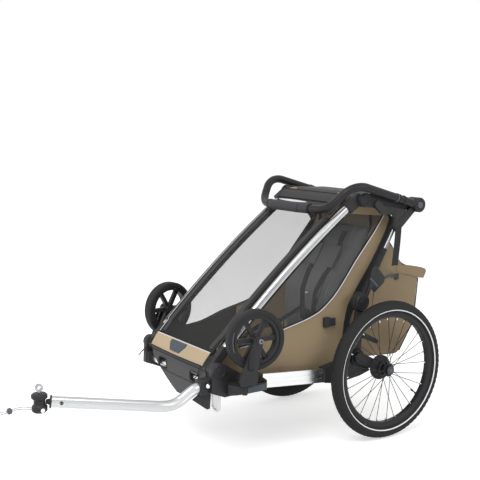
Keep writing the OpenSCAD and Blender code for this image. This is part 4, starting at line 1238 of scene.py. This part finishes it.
# %% Window films and their piping
film_outline = [(y + 2, z - 4) for y, z in sill] \
    + [tuple(on_arc(0.115 + 0.85 * i / 12, -11)) for i in range(13)]
side_trims = []
for side, s in SIDES:
    pane = cloth_wall("window_film_" + side, film_outline, [], FILM_X, 0.7, 14.0)
    push(pane, lambda y, z: -1.2 * math.sin((y * 0.7 + z) / 34) * away_from_pillar(y, z))
    on_side(pane, s)
    finish_with(pane, side_film, "upper_frame")
    if s > 0:
        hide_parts("side_windows")
    side_trims.append(pane)
    bright_line = [at(s * (191.0 + wall_bulge(y, z)), y, z) for y, z in sill]
    dark_line = [at(s * (190.0 + wall_bulge(y, z)), y - 2.4, z + 2.6) for y, z in sill]
    bright = trim("window_piping_" + side, bright_line, 0.0020, white_piping)
    dark = trim("window_binding_" + side, dark_line, 0.0026, black_binding)
    rear_seam = spline_points(rear_edge, 6)
    hem_line = tube("rear_edge_binding_" + side, [at(s * 188.6, y - 1, z) for y, z in rear_seam], 0.0030, 3)
    # The wide black band along each wall's rear edge is partly the black binding there and partly painted
    # shade between the wall and the cargo bag.
    band_rows = []
    for (y, z), width in zip(rear_seam, np.interp(np.linspace(0, 1, len(rear_seam)), [0, 0.2, 0.7, 1],
                                                  [30, 44, 34, 8])):
        band_rows.append([at(s * (190.4 + 1.6 * math.sin(math.pi * k / 5)), y - width * k / 5 * 0.84,
                             z + width * k / 5 * 0.42) for k in range(6)])
    band = grid("rear_black_band_" + side, band_rows, 0.0016, 1)
    finish_with(band, black_binding, "upper_frame")
    side_trims.append(band)
    finish_with(hem_line, black_binding, "upper_frame")
    front_seam = [tuple(on_arc(0.04 + 0.93 * i / 40, COVER - 3.0)) for i in range(41)]
    front_line = trim("front_edge_binding_" + side, [at(s * 189.2, y, z) for y, z in front_seam], 0.0024,
                      black_binding)
    side_trims += [bright, dark, hem_line, front_line]
print("windows made")

# %% [markdown]
# ## Roof
# The roof is a dark cloth visor from the front crossbar to the rear edge. Tan patches cover its front
# corners, and two shallow pleats run across it. It is one sheet: the patches are the same sheet's faces
# with another finish.

# %% Roof visor
ROOF_FRONT, ROOF_REAR = np.array((-102.0, 874.0)), np.array((62.0, 806.5))
ROOF_HALF = 189.5


def roof_point(u, v, out=0.0):
    """The visor: its sides lie on the walls' top edges, and it stands up over hoops between them."""
    y, z = ROOF_FRONT + (ROOF_REAR - ROOF_FRONT) * v
    rise = min(1.0, v / 0.10) ** 0.6 * min(1.0, (1 - v) / 0.30) ** 0.7
    pleat = 2.0 * math.exp(-((v - 0.30) / 0.04) ** 2) + 1.8 * math.exp(-((v - 0.56) / 0.04) ** 2)
    crown = (1 - abs(u) ** 9) * rise * (8.0 + 62.0 * v - pleat)
    lip = -2.0 * math.exp(-(v / 0.06) ** 2)
    return at(u * ROOF_HALF, y + 0.25 * crown + 0.4 * out, z + crown + lip + out)


rows = [[roof_point(u, j / 26) for u in span(40)] for j in range(27)]
roof = grid("roof_visor", rows, 0.0024, 1)
finish_with(roof, roof_cloth, "upper_frame")
roof.data.materials.append(tan_cloth)
for face in roof.data.polygons:
    c = face.center
    u, v = abs(c.x) * 1000 / ROOF_HALF, ((c.y - AXLE_Y) * 1000 + 102) / 164
    if u > 0.62 + 1.9 * max(0.0, v - 0.02) and v < 0.20:
        face.material_index = 1
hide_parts("roof_panel")
roof_trims = []
for name, v, r in (("roof_front_binding", 0.0, 0.0028), ("roof_rear_binding", 1.0, 0.0030)):
    line = tube(name, [roof_point(u, v, -0.3) for u in span(40)], r, 3)
    roof_trims.append(finish_with(line, black_binding, "upper_frame"))
# The visor's face closes the gap from the roof's front edge down to the cover's top band.
rows = []
for j in range(7):
    k = j / 6
    rows.append([roof_point(u, 0.0, -0.6) * (1 - k) + cover_point(u * 0.985, 0.972, 6.5) * k
                 + Vector((0, -0.003, 0.001)) * math.sin(math.pi * k) for u in span(30)])
face = grid("roof_visor_face", rows, 0.0014, 0)
roof_trims.append(finish_with(face, roof_cloth, "upper_frame"))
print("roof made")

# %% [markdown]
# ## Seat
# The seat back is a padded panel with raised bolsters at its sides and a sewn channel across it; the seat
# pad has a channel across and one along. Both start from a grid of points with the crown written as a
# formula, and a cloth simulation with a little inner pressure then rounds them as stuffing would.

# %% Padded panels


def padded(name, mid, normal, swell, nu, nv):
    front, rear = [], []
    for j in range(nv + 1):
        for i in range(nu + 1):
            rear.append(mid[j][i])
            front.append(mid[j][i] + normal[j] * swell[j][i] / 1000)
    w, n = nu + 1, (nu + 1) * (nv + 1)
    faces = []
    for j in range(nv):
        for i in range(nu):
            a = j * w + i
            faces.append((a, a + 1, a + w + 1, a + w))
            faces.append((n + a, n + a + w, n + a + w + 1, n + a + 1))
    for i in range(nu):
        faces.append((i + 1, i, n + i, n + i + 1))
        faces.append((nv * w + i, nv * w + i + 1, n + nv * w + i + 1, n + nv * w + i))
    for j in range(nv):
        faces.append((j * w, (j + 1) * w, n + (j + 1) * w, n + j * w))
        faces.append(((j + 1) * w + nu, j * w + nu, n + j * w + nu, n + (j + 1) * w + nu))
    mesh = bpy.data.meshes.new(name)
    mesh.from_pydata([tuple(p) for p in front + rear], [], faces)
    piece = linked(name, mesh)
    return tidy_mesh(piece)


def inflate(piece, pressure, cap, frames=14):
    """Lets a closed cloth swell, and limits how far any of its points may go."""
    rest = [v.co.copy() for v in piece.data.vertices]
    pick(piece)
    cloth = piece.modifiers.new("cloth", "CLOTH")
    cloth.settings.use_pressure = True
    cloth.settings.uniform_pressure_force = pressure
    cloth.settings.effector_weights.gravity = 0
    cloth.settings.quality = 5
    cloth.point_cache.frame_start = 1
    cloth.point_cache.frame_end = frames
    scene = bpy.context.scene
    for k in range(1, frames + 1):
        scene.frame_set(k)
    bpy.ops.object.modifier_apply(modifier="cloth")
    scene.frame_set(1)
    for v, old in zip(piece.data.vertices, rest):
        move = v.co - old
        if move.length > cap:
            v.co = old + move.normalized() * cap
    smooth = piece.modifiers.new("smooth", "SUBSURF")
    smooth.levels = smooth.render_levels = 1
    return settle(piece, angle=60)


SEAT_W = 330.0


def seat_mid(v):
    if v < 0.28:
        return np.array((-112 + 12 * v / 0.28, 330 + 170 * v / 0.28))
    return np.array((-100 + 140 * (v - 0.28) / 0.72, 500 + 246 * (v - 0.28) / 0.72))


def seat_rest(v):
    return seat_mid(v) - np.array((0.8 + 2 * math.sin(math.pi * min(v / 0.56, 1)), 0))


def seat_tilt(v):
    return math.radians(3 + 24 * min(1, max(0, (v - 0.16) / 0.24)))


def seat_swell(u, v):
    rim = (1 - abs(u) ** 6) ** 0.5 * (1 - abs(2 * v - 1) ** 8) ** 0.5
    bolster = 0.45 * math.exp(-((abs(u) - 0.78) / 0.16) ** 2)
    groove = 0.30 * math.exp(-((abs(u) - 0.5) / 0.05) ** 2) + 0.22 * math.exp(-((v - 0.5) / 0.022) ** 2) \
        + 0.16 * math.exp(-((v - 0.76) / 0.02) ** 2)
    return 4 + 28 * rim * (0.62 + bolster - groove)


nu, nv = 40, 48
mid, normal, swell = [], [], []
for j in range(nv + 1):
    v = j / nv
    y, z = seat_rest(v)
    mid.append([at((2 * i / nu - 1) * SEAT_W / 2 * (1 - 0.10 * abs(2 * v - 1) ** 4), y, z)
                for i in range(nu + 1)])
    normal.append(Vector((0, -math.cos(seat_tilt(v)), math.sin(seat_tilt(v)))))
    swell.append([seat_swell(2 * i / nu - 1, v) for i in range(nu + 1)])
seat_back = inflate(padded("seat_back_pad", mid, normal, swell, nu, nv), 3.0, 0.0035)
finish_with(seat_back, seat_cloth, "upper_frame")
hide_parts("seat_back")

nu, nv = 32, 24
mid = [[at((1 - 2 * i / nu) * (SEAT_W / 2 - 6 * abs(2 * j / nv - 1) ** 6), -350 + 232 * j / nv
           + 5 * (1 - 2 * i / nu) ** 2 * (1 - j / nv), 257.8) for i in range(nu + 1)] for j in range(nv + 1)]
normal = [Vector((0, 0, 1))] * (nv + 1)
swell = []
for j in range(nv + 1):
    row = []
    for i in range(nu + 1):
        u, v = 1 - 2 * i / nu, j / nv
        rim = (1 - abs(u) ** 8) ** 0.4 * (1 - abs(2 * v - 1) ** 8) ** 0.4
        groove = 0.16 * math.exp(-((v - 0.5) / 0.04) ** 2) + 0.10 * math.exp(-(u / 0.05) ** 2)
        row.append(16 + 46 * rim * (1 - groove))
    swell.append(row)
seat_pad = inflate(padded("seat_pad_cushion", mid, normal, swell, nu, nv), 3.0, 0.003)
for v in seat_pad.data.vertices:
    v.co.z = max(v.co.z, 0.2576)
finish_with(seat_pad, seat_cloth, "base")
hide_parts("seat_pad")
print("seat made", len(seat_back.data.polygons), len(seat_pad.data.polygons))

# %% [markdown]
# ## Harness
# Two straps run down the seat back. They are flat webbing, so each is a thin strip that follows the
# padding's own face, a millimetre in front of it, with a small pad at shoulder height and a buckle where
# they meet.

# %% Harness straps


def strap(name, path, across, width, thick, material, body):
    """A flat strap along points, its width along the vector across; all in metres."""
    half = Vector(across).normalized() * width / 2
    rows = [[p - half, p - half * 0.5, p, p + half * 0.5, p + half] for p in path]
    piece = grid(name, rows, thick, 0)
    return finish_with(piece, material, body)


def on_seat(u, v, out):
    y, z = seat_rest(v)
    a = seat_tilt(v)
    lift = seat_swell(u, v) + out
    return at(u * SEAT_W / 2, y - lift * math.cos(a), z + lift * math.sin(a))


cloth_on_frame = []
for side, s in SIDES:
    path = [on_seat(s * (0.32 - 0.14 * max(0, 0.5 - v) / 0.4), v, 5.0) for v in np.linspace(0.10, 0.90, 34)]
    cloth_on_frame.append(strap("harness_strap_" + side, path, (1, 0, 0), 0.025, 0.0018, webbing,
                                "upper_frame"))
    path = [on_seat(s * 0.32, v, 7.6) for v in np.linspace(0.52, 0.74, 16)]
    cloth_on_frame.append(strap("shoulder_pad_" + side, path, (1, 0, 0), 0.046, 0.006, seat_cloth,
                                "upper_frame"))
buckle = box_solid("harness_buckle", on_seat(-0.13, 0.12, 6) + Vector((0, -0.008, -0.012)),
                   on_seat(0.13, 0.12, 6) + Vector((0, 0.002, 0.030)), 0.003, 3)
finish_with(buckle, casting_black, "upper_frame")
cloth_on_frame.append(buckle)
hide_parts("harness")
print("harness made")

# %% [markdown]
# ## Rear of the cabin and the cargo bag
# The rear wall is a tan cloth in two flat runs. The cargo bag hangs behind it: its side walls are a
# pattern, as the cabin's, and its skin is one strip that goes round the pattern. The skin is blown out a
# little by its load, so it isn't flat, and a lid with a stitched hem lies over the top.

# %% Rear wall
rear_path = spline_points([(60.0, 805.5), (69.5, 797.0), (20, 711), (-50, 588), (-98, 503), (-106, 380),
                           (-111.5, 258)], 7)
REAR_HALF, REAR_SAG, REAR_GAP = 185.2, 2.0, 2.6
rows = []
for j, (y, z) in enumerate(rear_path):
    sag = REAR_SAG * math.sin(math.pi * j / (len(rear_path) - 1))
    rows.append([at((2 * i / 30 - 1) * REAR_HALF, y + REAR_GAP + sag * math.sin(math.pi * i / 30), z)
                 for i in range(31)])
rear_wall = grid("rear_wall", rows, 0.0024, 0)
# The rear wall takes the lining's lit copy, a tan lighter than the outside's: painted light.
finish_with(rear_wall, lining_painted_lit, "upper_frame")
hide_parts("rear_panel")
print("rear wall made")

# %% Cargo bag
BAG = [(-6, 262), (-34, 318), (-90, 420), (-94.5, 500), (-38, 600), (28, 714), (60, 717), (106, 716),
       (116, 696), (128, 674), (150, 640), (178, 607), (222, 590), (300, 571), (300, 560), (292, 543),
       (272, 541), (263, 460), (252, 376), (218, 318), (179, 261), (150, 252), (80, 256)]
BAG_MID = np.array((75.0, 470.0))
BAG_HALF = 168.5


def bag_ring(u, out=0.0):
    """The bag's outline at u of its half width: it rounds in over the last 14 mm and swells at its middle."""
    edge = max(0.0, abs(u) - 0.915) / 0.085
    inset = 13.0 * (1 - math.sqrt(max(0.0, 1 - edge ** 2)))
    ring = []
    for y, z in spline_points(BAG + [BAG[0]], 4)[:-1]:
        from_mid = np.array((y, z)) - BAG_MID
        d = from_mid / np.linalg.norm(from_mid)
        rearward = max(0.0, d[0])
        load = 5.0 * (1 - u * u) * rearward + 0.9 * math.sin(z / 17 + 3 * u) * rearward * (1 - edge)
        q = np.array((y, z)) - d * (inset + 4 - load - out)
        ring.append(at(u * BAG_HALF, q[0], q[1]))
    return ring


us = [-1, -0.993, -0.98, -0.955, -0.915, -0.85, -0.75, -0.6, -0.4, -0.2, 0, 0.2, 0.4, 0.6, 0.75, 0.85, 0.915,
      0.955, 0.98, 0.993, 1]
rings = [bag_ring(u) for u in us]
count = len(rings[0])
bag_mesh = bpy.data.meshes.new("cargo_bag_skin")
verts = [tuple(p) for ring in rings for p in ring]
faces = [(i * count + j, i * count + (j + 1) % count, (i + 1) * count + (j + 1) % count, (i + 1) * count + j)
         for i in range(len(rings) - 1) for j in range(count)]
faces += [tuple(range(count)), tuple(range((len(rings) - 1) * count, len(rings) * count))]
bag_mesh.from_pydata(verts, [], faces)
bag = linked("cargo_bag_skin", bag_mesh)
settle(tidy_mesh(bag), angle=60)
finish_with(bag, tan_cloth, "upper_frame")
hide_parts("cargo_bag")

SEAM_X = 166.5


def inward(p, distance):
    """The point, moved towards the middle of the bag's side."""
    p = np.array(p)
    return p - (p - BAG_MID) / np.linalg.norm(p - BAG_MID) * distance


# The seams, and the flap and the lid's lip on each side.
bag_trims = []
for side, s in SIDES:
    line = spline_points([(28, 712), (-38, 602), (-92, 505), (-88, 424), (-34, 322), (-8, 266)], 8)
    for name, pts, r, material in (
            ("bag_front_seam_", line, 0.0024, black_binding),
            ("bag_lid_seam_", spline_points([(104, 716), (118, 690), (132, 672), (152, 640), (180, 608),
                                             (224, 590), (298, 570)], 6), 0.0024, black_binding),
            ("bag_rear_seam_", spline_points([(270, 540), (262, 460), (250, 376), (216, 318), (178, 262)], 7),
             0.0020, black_binding)):
        piece = tube(name + side, [at(s * SEAM_X, *inward(p, 6))
                                   for p in pts], r, 3)
        bag_trims.append(finish_with(piece, material, "upper_frame"))
    flap_outline = [(86, 706), (128, 664), (150, 628), (176, 600), (160, 560), (110, 470), (70, 400),
                    (48, 372), (30, 380), (34, 440), (48, 560), (60, 650)]
    flap = cloth_wall("bag_flap_" + side, spline_points(flap_outline + [flap_outline[0]], 3)[:-1], [], 170.6,
                      2.2, 14.0)
    push(flap, lambda y, z: 0.9 * math.sin((z - y) / 24))
    lip_outline = [(150, 604), (184, 596), (224, 590), (297, 571), (290, 541), (278, 538), (214, 556),
                   (154, 572)]
    lip = cloth_wall("bag_lid_lip_" + side, spline_points(lip_outline + [lip_outline[0]], 3)[:-1], [], 171.0,
                     3.0, 14.0)
    for piece in (flap, lip):
        finish_with(on_side(piece, s), tan_cloth, "upper_frame")
    bag_trims += [flap, lip]
print("cargo bag", len(bag.data.polygons), "faces")

# %% [markdown]
# ## Wrist strap
# A flat strap hangs from the handlebar's hub at the left side. It is a plain ribbon.

# %% Wrist strap
path = [at(253.8, y + 12.5, z) for y, z in spline_points([(66, 752), (62, 700), (52, 615)], 8)]
wrist = strap("wrist_strap_web", path, (0, 1, 0), 0.029, 0.0019, webbing, "upper_frame")
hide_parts("wrist_strap")
print("strap made")

# %% [markdown]
# ## Fittings on the struts, hubs and legs
# Small fittings make the difference between a solid model and a product. Each one is an outline in the side
# plane, drawn out to its width and bevelled, and each rides on the body it is fixed to.

# %% Fittings


def side_part(name, outline, x0, x1, material, body, rounding=1.2, sides=(1, -1)):
    made = []
    for s in sides:
        piece = pattern_solid(name, outline, [], min(s * x0, s * x1), max(s * x0, s * x1))
        bevel(piece, rounding / 1000, 2)
        settle(piece, name + ("_left" if s > 0 else "_right"), 40)
        made.append(finish_with(piece, material, body if isinstance(body, str) else body[0 if s > 0 else 1]))
    return made


def outer_face(y, z, s, reach=0.6):
    """The x, in millimetres from the middle, at which a line from outside first meets the trailer."""
    start = at(s * reach * 1000, y, z)
    hit, place, *_ = bpy.context.scene.ray_cast(bpy.context.evaluated_depsgraph_get(), start,
                                                Vector((-s, 0, 0)))
    return abs(place.x) * 1000 if hit else 240.0


side_part("strut_bracket", [(-36, 606), (-22, 620), (-6, 612), (28, 574), (24, 556), (-20, 524), (-46, 548)],
          240.2, 245.5, casting_black, "strut_sleeves", 2.0)
side_part("strut_bracket_flash", [(-46, 574), (-40, 580), (-6, 548), (-12, 541)], 245.2, 246.6, grey_plate,
          "strut_sleeves", 0.4)
side_part("strut_latch", [(-64, 520), (-52, 514), (-26, 560), (-36, 568)], 240, 247, satin_black,
          "strut_sleeves", 1.5)
for side, s in SIDES:
    for k, (y, z, x) in enumerate([(-13, 602, 241), (20, 657, 238)]):
        where = at(s * x, y, z)
        lathe_part("strut_knob_%d_%s" % (k, side), [(0, 6), (3.5, 6), (5.2, 4.6), (5.6, 0), (0, 0)], where, s,
                   soft_black, "strut_sleeves", 24, 40, where)
    # Caps over the cabin's upper and front pivots, and over the pin of each strut.
    for name, y, z, profile in (
            ("roof_pivot_cap", -65, 856, [(0, 4.2), (7.5, 4.2), (8.2, 3.2), (13.5, 3.2), (14.5, 5.2),
                                          (20, 5.2), (22.5, 2.6), (23, 0), (0, 0)]),
            ("fold_pivot_cap", -672, 335, [(0, 3.0), (9, 3.0), (10, 2.0), (17, 2.0), (18, 3.4), (21, 3.4),
                                           (23, 0.8), (23, 0), (0, 0)]),
            ("strut_pin_cap", -75, 494, [(0, 3.6), (8, 3.6), (9, 2.4), (20, 2.4), (21.5, 3.8), (27, 3.8),
                                         (30, 1.2), (30.5, 0), (0, 0)])):
        x = outer_face(y, z, s)
        body = "strut_sleeves" if name == "strut_pin_cap" else "upper_frame"
        lathe_part(name + "_" + side, [(r, o + x - 0.1) for r, o in profile], at(0, y, z), s, satin_black,
                   body)
    # Collars on the handlebar beside its hub.
    for k, y in enumerate((66, 74, 98)):
        z = 834.3 + (151 - y) * 0.2965
        a, b = at(s * BAR_X, y + 2.2, z - 0.65), at(s * BAR_X, y - 2.2, z + 0.65)
        ring = tube("bar_collar_%d_%s" % (k, side), [a, b], 0.0168, 8)
        finish_with(ring, satin_black if k else button_grey, "handlebar")
    ends = [at(s * 232, -75 + 0.5126 * k, 494 + 0.8586 * k) for k in (118, 211.5)]
    outer = tube("strut_outer_tube_" + side, ends, 0.0084, 8)
    finish_with(outer, strut_metal, "strut_sleeves")
    # The black drum round the wheel's hub, and the cap of the suspension's pivot.
    drum = [(21, 251.6), (41, 251.6), (44.5, 254), (44.5, 262), (41.5, 265), (31, 266.5), (27, 269),
            (26, 283), (23.5, 286), (21, 286), (21, 251.6)]
    lathe_part("wheel_drum_" + side, drum, at(0, 0, HUB_Z), s, satin_black, "wheel_" + side,
               72)
    pivot = [(0, 243.0), (7, 243.0), (8, 242.2), (20, 242.2), (21.5, 244), (25, 244), (27, 242), (27, 239.6),
             (0, 239.6)]
    lathe_part("swing_pivot_cap_" + side, pivot, at(0, -98, 298), s, satin_black, "base")
    # Black lines along the rear edge of each pillar.
    line = tube("pillar_edge_line_" + side, [at(s * 214.5, *on_arc(0.93 * i / 40, -13.2)) for i in range(41)],
                0.0022, 3)
    finish_with(line, black_binding, "upper_frame")
print("fittings made")

# %% Grip, its collars and the leg panels
bar_path = smooth_route([(x, y, GRIP_Z) for x, y in ((-118, -219.5), (-78, -226.6), (0, GRIP_Y), (78, -226.6),
                                                     (118, -219.5))], 8)
trim("grip_sleeve", [at(*q) for q in bar_path], 0.0171, grip_rubber, "handlebar", rounds=8)
for side, s in SIDES:
    ring = trim("grip_collar_" + side, [at(s * 116, -219.8, 824), at(s * 121, -218.9, 824)], 0.0186,
                soft_black, "handlebar", rounds=8)
    x = outer_face(-592, 380, s)
    leg = "stroller_leg_" + side
    side_part("leg_panel", [(-604, 408), (-598, 414), (-578, 414), (-572, 408), (-567, 352), (-573, 346),
                            (-604, 346), (-610, 352)],
              x - 0.4, x + 0.9, satin_black, leg, 0.5, sides=(s,))
    side_part("leg_panel_rim", [(-606, 411), (-600, 417), (-576, 417), (-570, 411), (-564, 350), (-571, 343),
                                (-606, 343), (-613, 350)],
              x - 0.6, x + 0.3, deep_black, leg, 0.3, sides=(s,))
    low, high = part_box("stroller_tyre_" + side)
    mid_y, mid_z = ((low.y + high.y) / 2 - AXLE_Y) * 1000, (low.z + high.z) * 500
    # The pale ring on each stroller tyre is a painted highlight along its edge; the other ring is a
    # near-black line at the rim's edge.
    for name, r, grey in (("tyre_ring_", 88.0, ring_grey), ("rim_ring_", 80.0, deep_black)):
        x = outer_face(mid_y - r, mid_z, s) + 0.3
        turns = [2 * math.pi * k / 72 for k in range(72)]
        circle = [at(s * x, mid_y + r * math.cos(a), mid_z + r * math.sin(a)) for a in turns]
        trim(name + side, circle, 0.0008, grey, "stroller_wheel_" + side, rounds=2,
             closed=True)
    x = outer_face(-566, 434, s)
    ring = [(4.5, x + 0.9), (7.5, x + 0.9), (8.2, x - 0.2), (4.0, x - 0.2), (4.5, x + 0.9)]
    bolt = [(0, x + 1.6), (3.4, x + 1.6), (4.2, x + 0.6), (4.2, x - 0.2), (0, x - 0.2)]
    leg_hub = at(0, -566, 434)
    lathe_part("leg_hub_ring_" + side, ring, leg_hub, s, strut_metal, leg, 40)
    lathe_part("leg_hub_bolt_" + side, bolt, leg_hub, s, satin_black, leg, 24)
for side, s in SIDES:
    outline = [(246, -528), (288, -534), (292, -560), (282, -577), (250, -577)]
    mesh = bpy.data.meshes.new("wing_recess")
    low = [tuple(at(s * x, y, 289.4)) for x, y in outline]
    high = [tuple(at(s * x, y, 290.7)) for x, y in outline]
    n = len(outline)
    mesh.from_pydata(low + high, [], [tuple(range(n)), tuple(range(2 * n - 1, n - 1, -1))]
                     + [(i, (i + 1) % n, n + (i + 1) % n, n + i) for i in range(n)])
    piece = linked("wing_recess_" + side, mesh)
    settle(tidy_mesh(piece), angle=30)
    finish_with(piece, recess_brown, "base")
stand_web = box_solid("stand_web", at(156, -648.4, 186.5), at(196, -643.6, 238), 0.0012)
finish_with(stand_web, arm_aluminium, "base")
print("grip and legs dressed")

# %% [markdown]
# ## Straps, clips and small trims
# Webbing straps and elastic loops hold the cloths in place. They hang free or lie along a surface, so each
# one is a short smooth line with a flat or a round section.

# %% Straps and clips
small = []
for side, s in SIDES:
    path = [at(s * x, y, z) for x, y, z in smooth_route([(243, 14, 566), (224, 60, 572), (192, 112, 566),
                                                         (175, 146, 556)], 7)]
    small.append(strap("bag_strap_" + side, path, (0, 0.25, 1), 0.011, 0.0017, grey_webbing, "upper_frame"))
    tab = box_solid("bag_strap_tab_" + side, at(s * 174 - 2, 140, 544), at(s * 174 + 2, 158, 566), 0.0012)
    small.append(finish_with(tab, grey_webbing, "upper_frame"))
    clip = box_solid("side_clip_" + side, at(s * 198 - 7, -212, 410), at(s * 198 + 7, -188, 446), 0.0025, 3)
    small.append(finish_with(clip, casting_black, "upper_frame"))
    tail = box_solid("side_clip_tail_" + side, at(s * 196 - 4, -187, 412), at(s * 196 + 4, -160, 440), 0.002,
                     3)
    small.append(finish_with(tail, webbing, "upper_frame"))
    path = [at(s * 150, 36 + 3 * math.sin(k / 3), 792 - 7 * k) for k in range(14)]
    small.append(strap("comb_strap_" + side, path, (0, 1, 0), 0.013, 0.0024, webbing, "upper_frame"))
    path = [on_seat(s * 0.30, 0.16, 6), at(s * 100, -210, 372), at(s * 146, -262, 352),
            at(s * 170, -330, 300)]
    path = [Vector(q) for q in smooth_route([tuple(q) for q in path], 8)]
    small.append(strap("waist_strap_" + side, path, (0, 0.3, 1), 0.022, 0.0016, webbing, "upper_frame"))
    path = [on_seat(s * 0.46, 0.66, 6), at(s * 120, -150, 560), at(s * 168, -230, 470)]
    path = [Vector(q) for q in smooth_route([tuple(q) for q in path], 9)]
    small.append(strap("side_strap_" + side, path, (0, 0.6, 0.8), 0.016, 0.0014, webbing, "upper_frame"))
tag = box_solid("blank_tag", at(118, -236, 524), at(120, -225, 528.5), 0.0005)
small.append(finish_with(tag, white_plastic, "upper_frame"))
for name, points, r in (
        ("hem_elastic_left", [(168, -697, 336), (158, -698, 324), (134, -693, 296), (112, -693, 278)],
         0.0017),
        ("hem_elastic_right", [(-180, -672, 372), (-196, -690, 352), (-214, -702, 322), (-244, -706, 296),
                               (-264, -706, 281)], 0.0019)):
    cord = trim(name, [at(*q) for q in smooth_route(points, 8)], r, black_binding,
                "upper_frame" if "right" in name else "cover_hem")
    small.append(cord)
# A pale strip in the piping's cloth across the cover's top band, behind the grip, on one side only.
rows = []
for i in range(25):
    k = i / 24
    u, width = -0.93 + 0.98 * k, 5.2 * math.sin(math.pi * min(1, k * 1.04)) ** 0.5
    rows.append([cover_point(u, 0.957 + (j - 2) / 2 * width / 730, 2.6) for j in range(5)])
slit = grid("visor_reflector", rows, 0.0009, 0)
small.append(finish_with(slit, white_piping, "upper_frame"))
print("small trims", len(small))

# %% [markdown]
# ## The cloths of the folding cabin
# When the cabin folds, its frame turns down over the front pivots, and the cloth between frame and floor
# gathers. A cloth can't follow a rigid body there, so each one is moved onto the floor's body and given a
# mesh of its own.

# %% Cloths moved onto the floor's body
gathered = walls + side_trims + [rear_wall, bag, seat_back, roof] + bag_trims + cloth_on_frame + roof_trims
gathered += [piece for piece in small
             if piece["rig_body"] == "upper_frame" and piece.name != "visor_reflector"]
for piece in gathered:
    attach(piece, "base")
    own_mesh(piece)
print(len(gathered), "pieces gather")
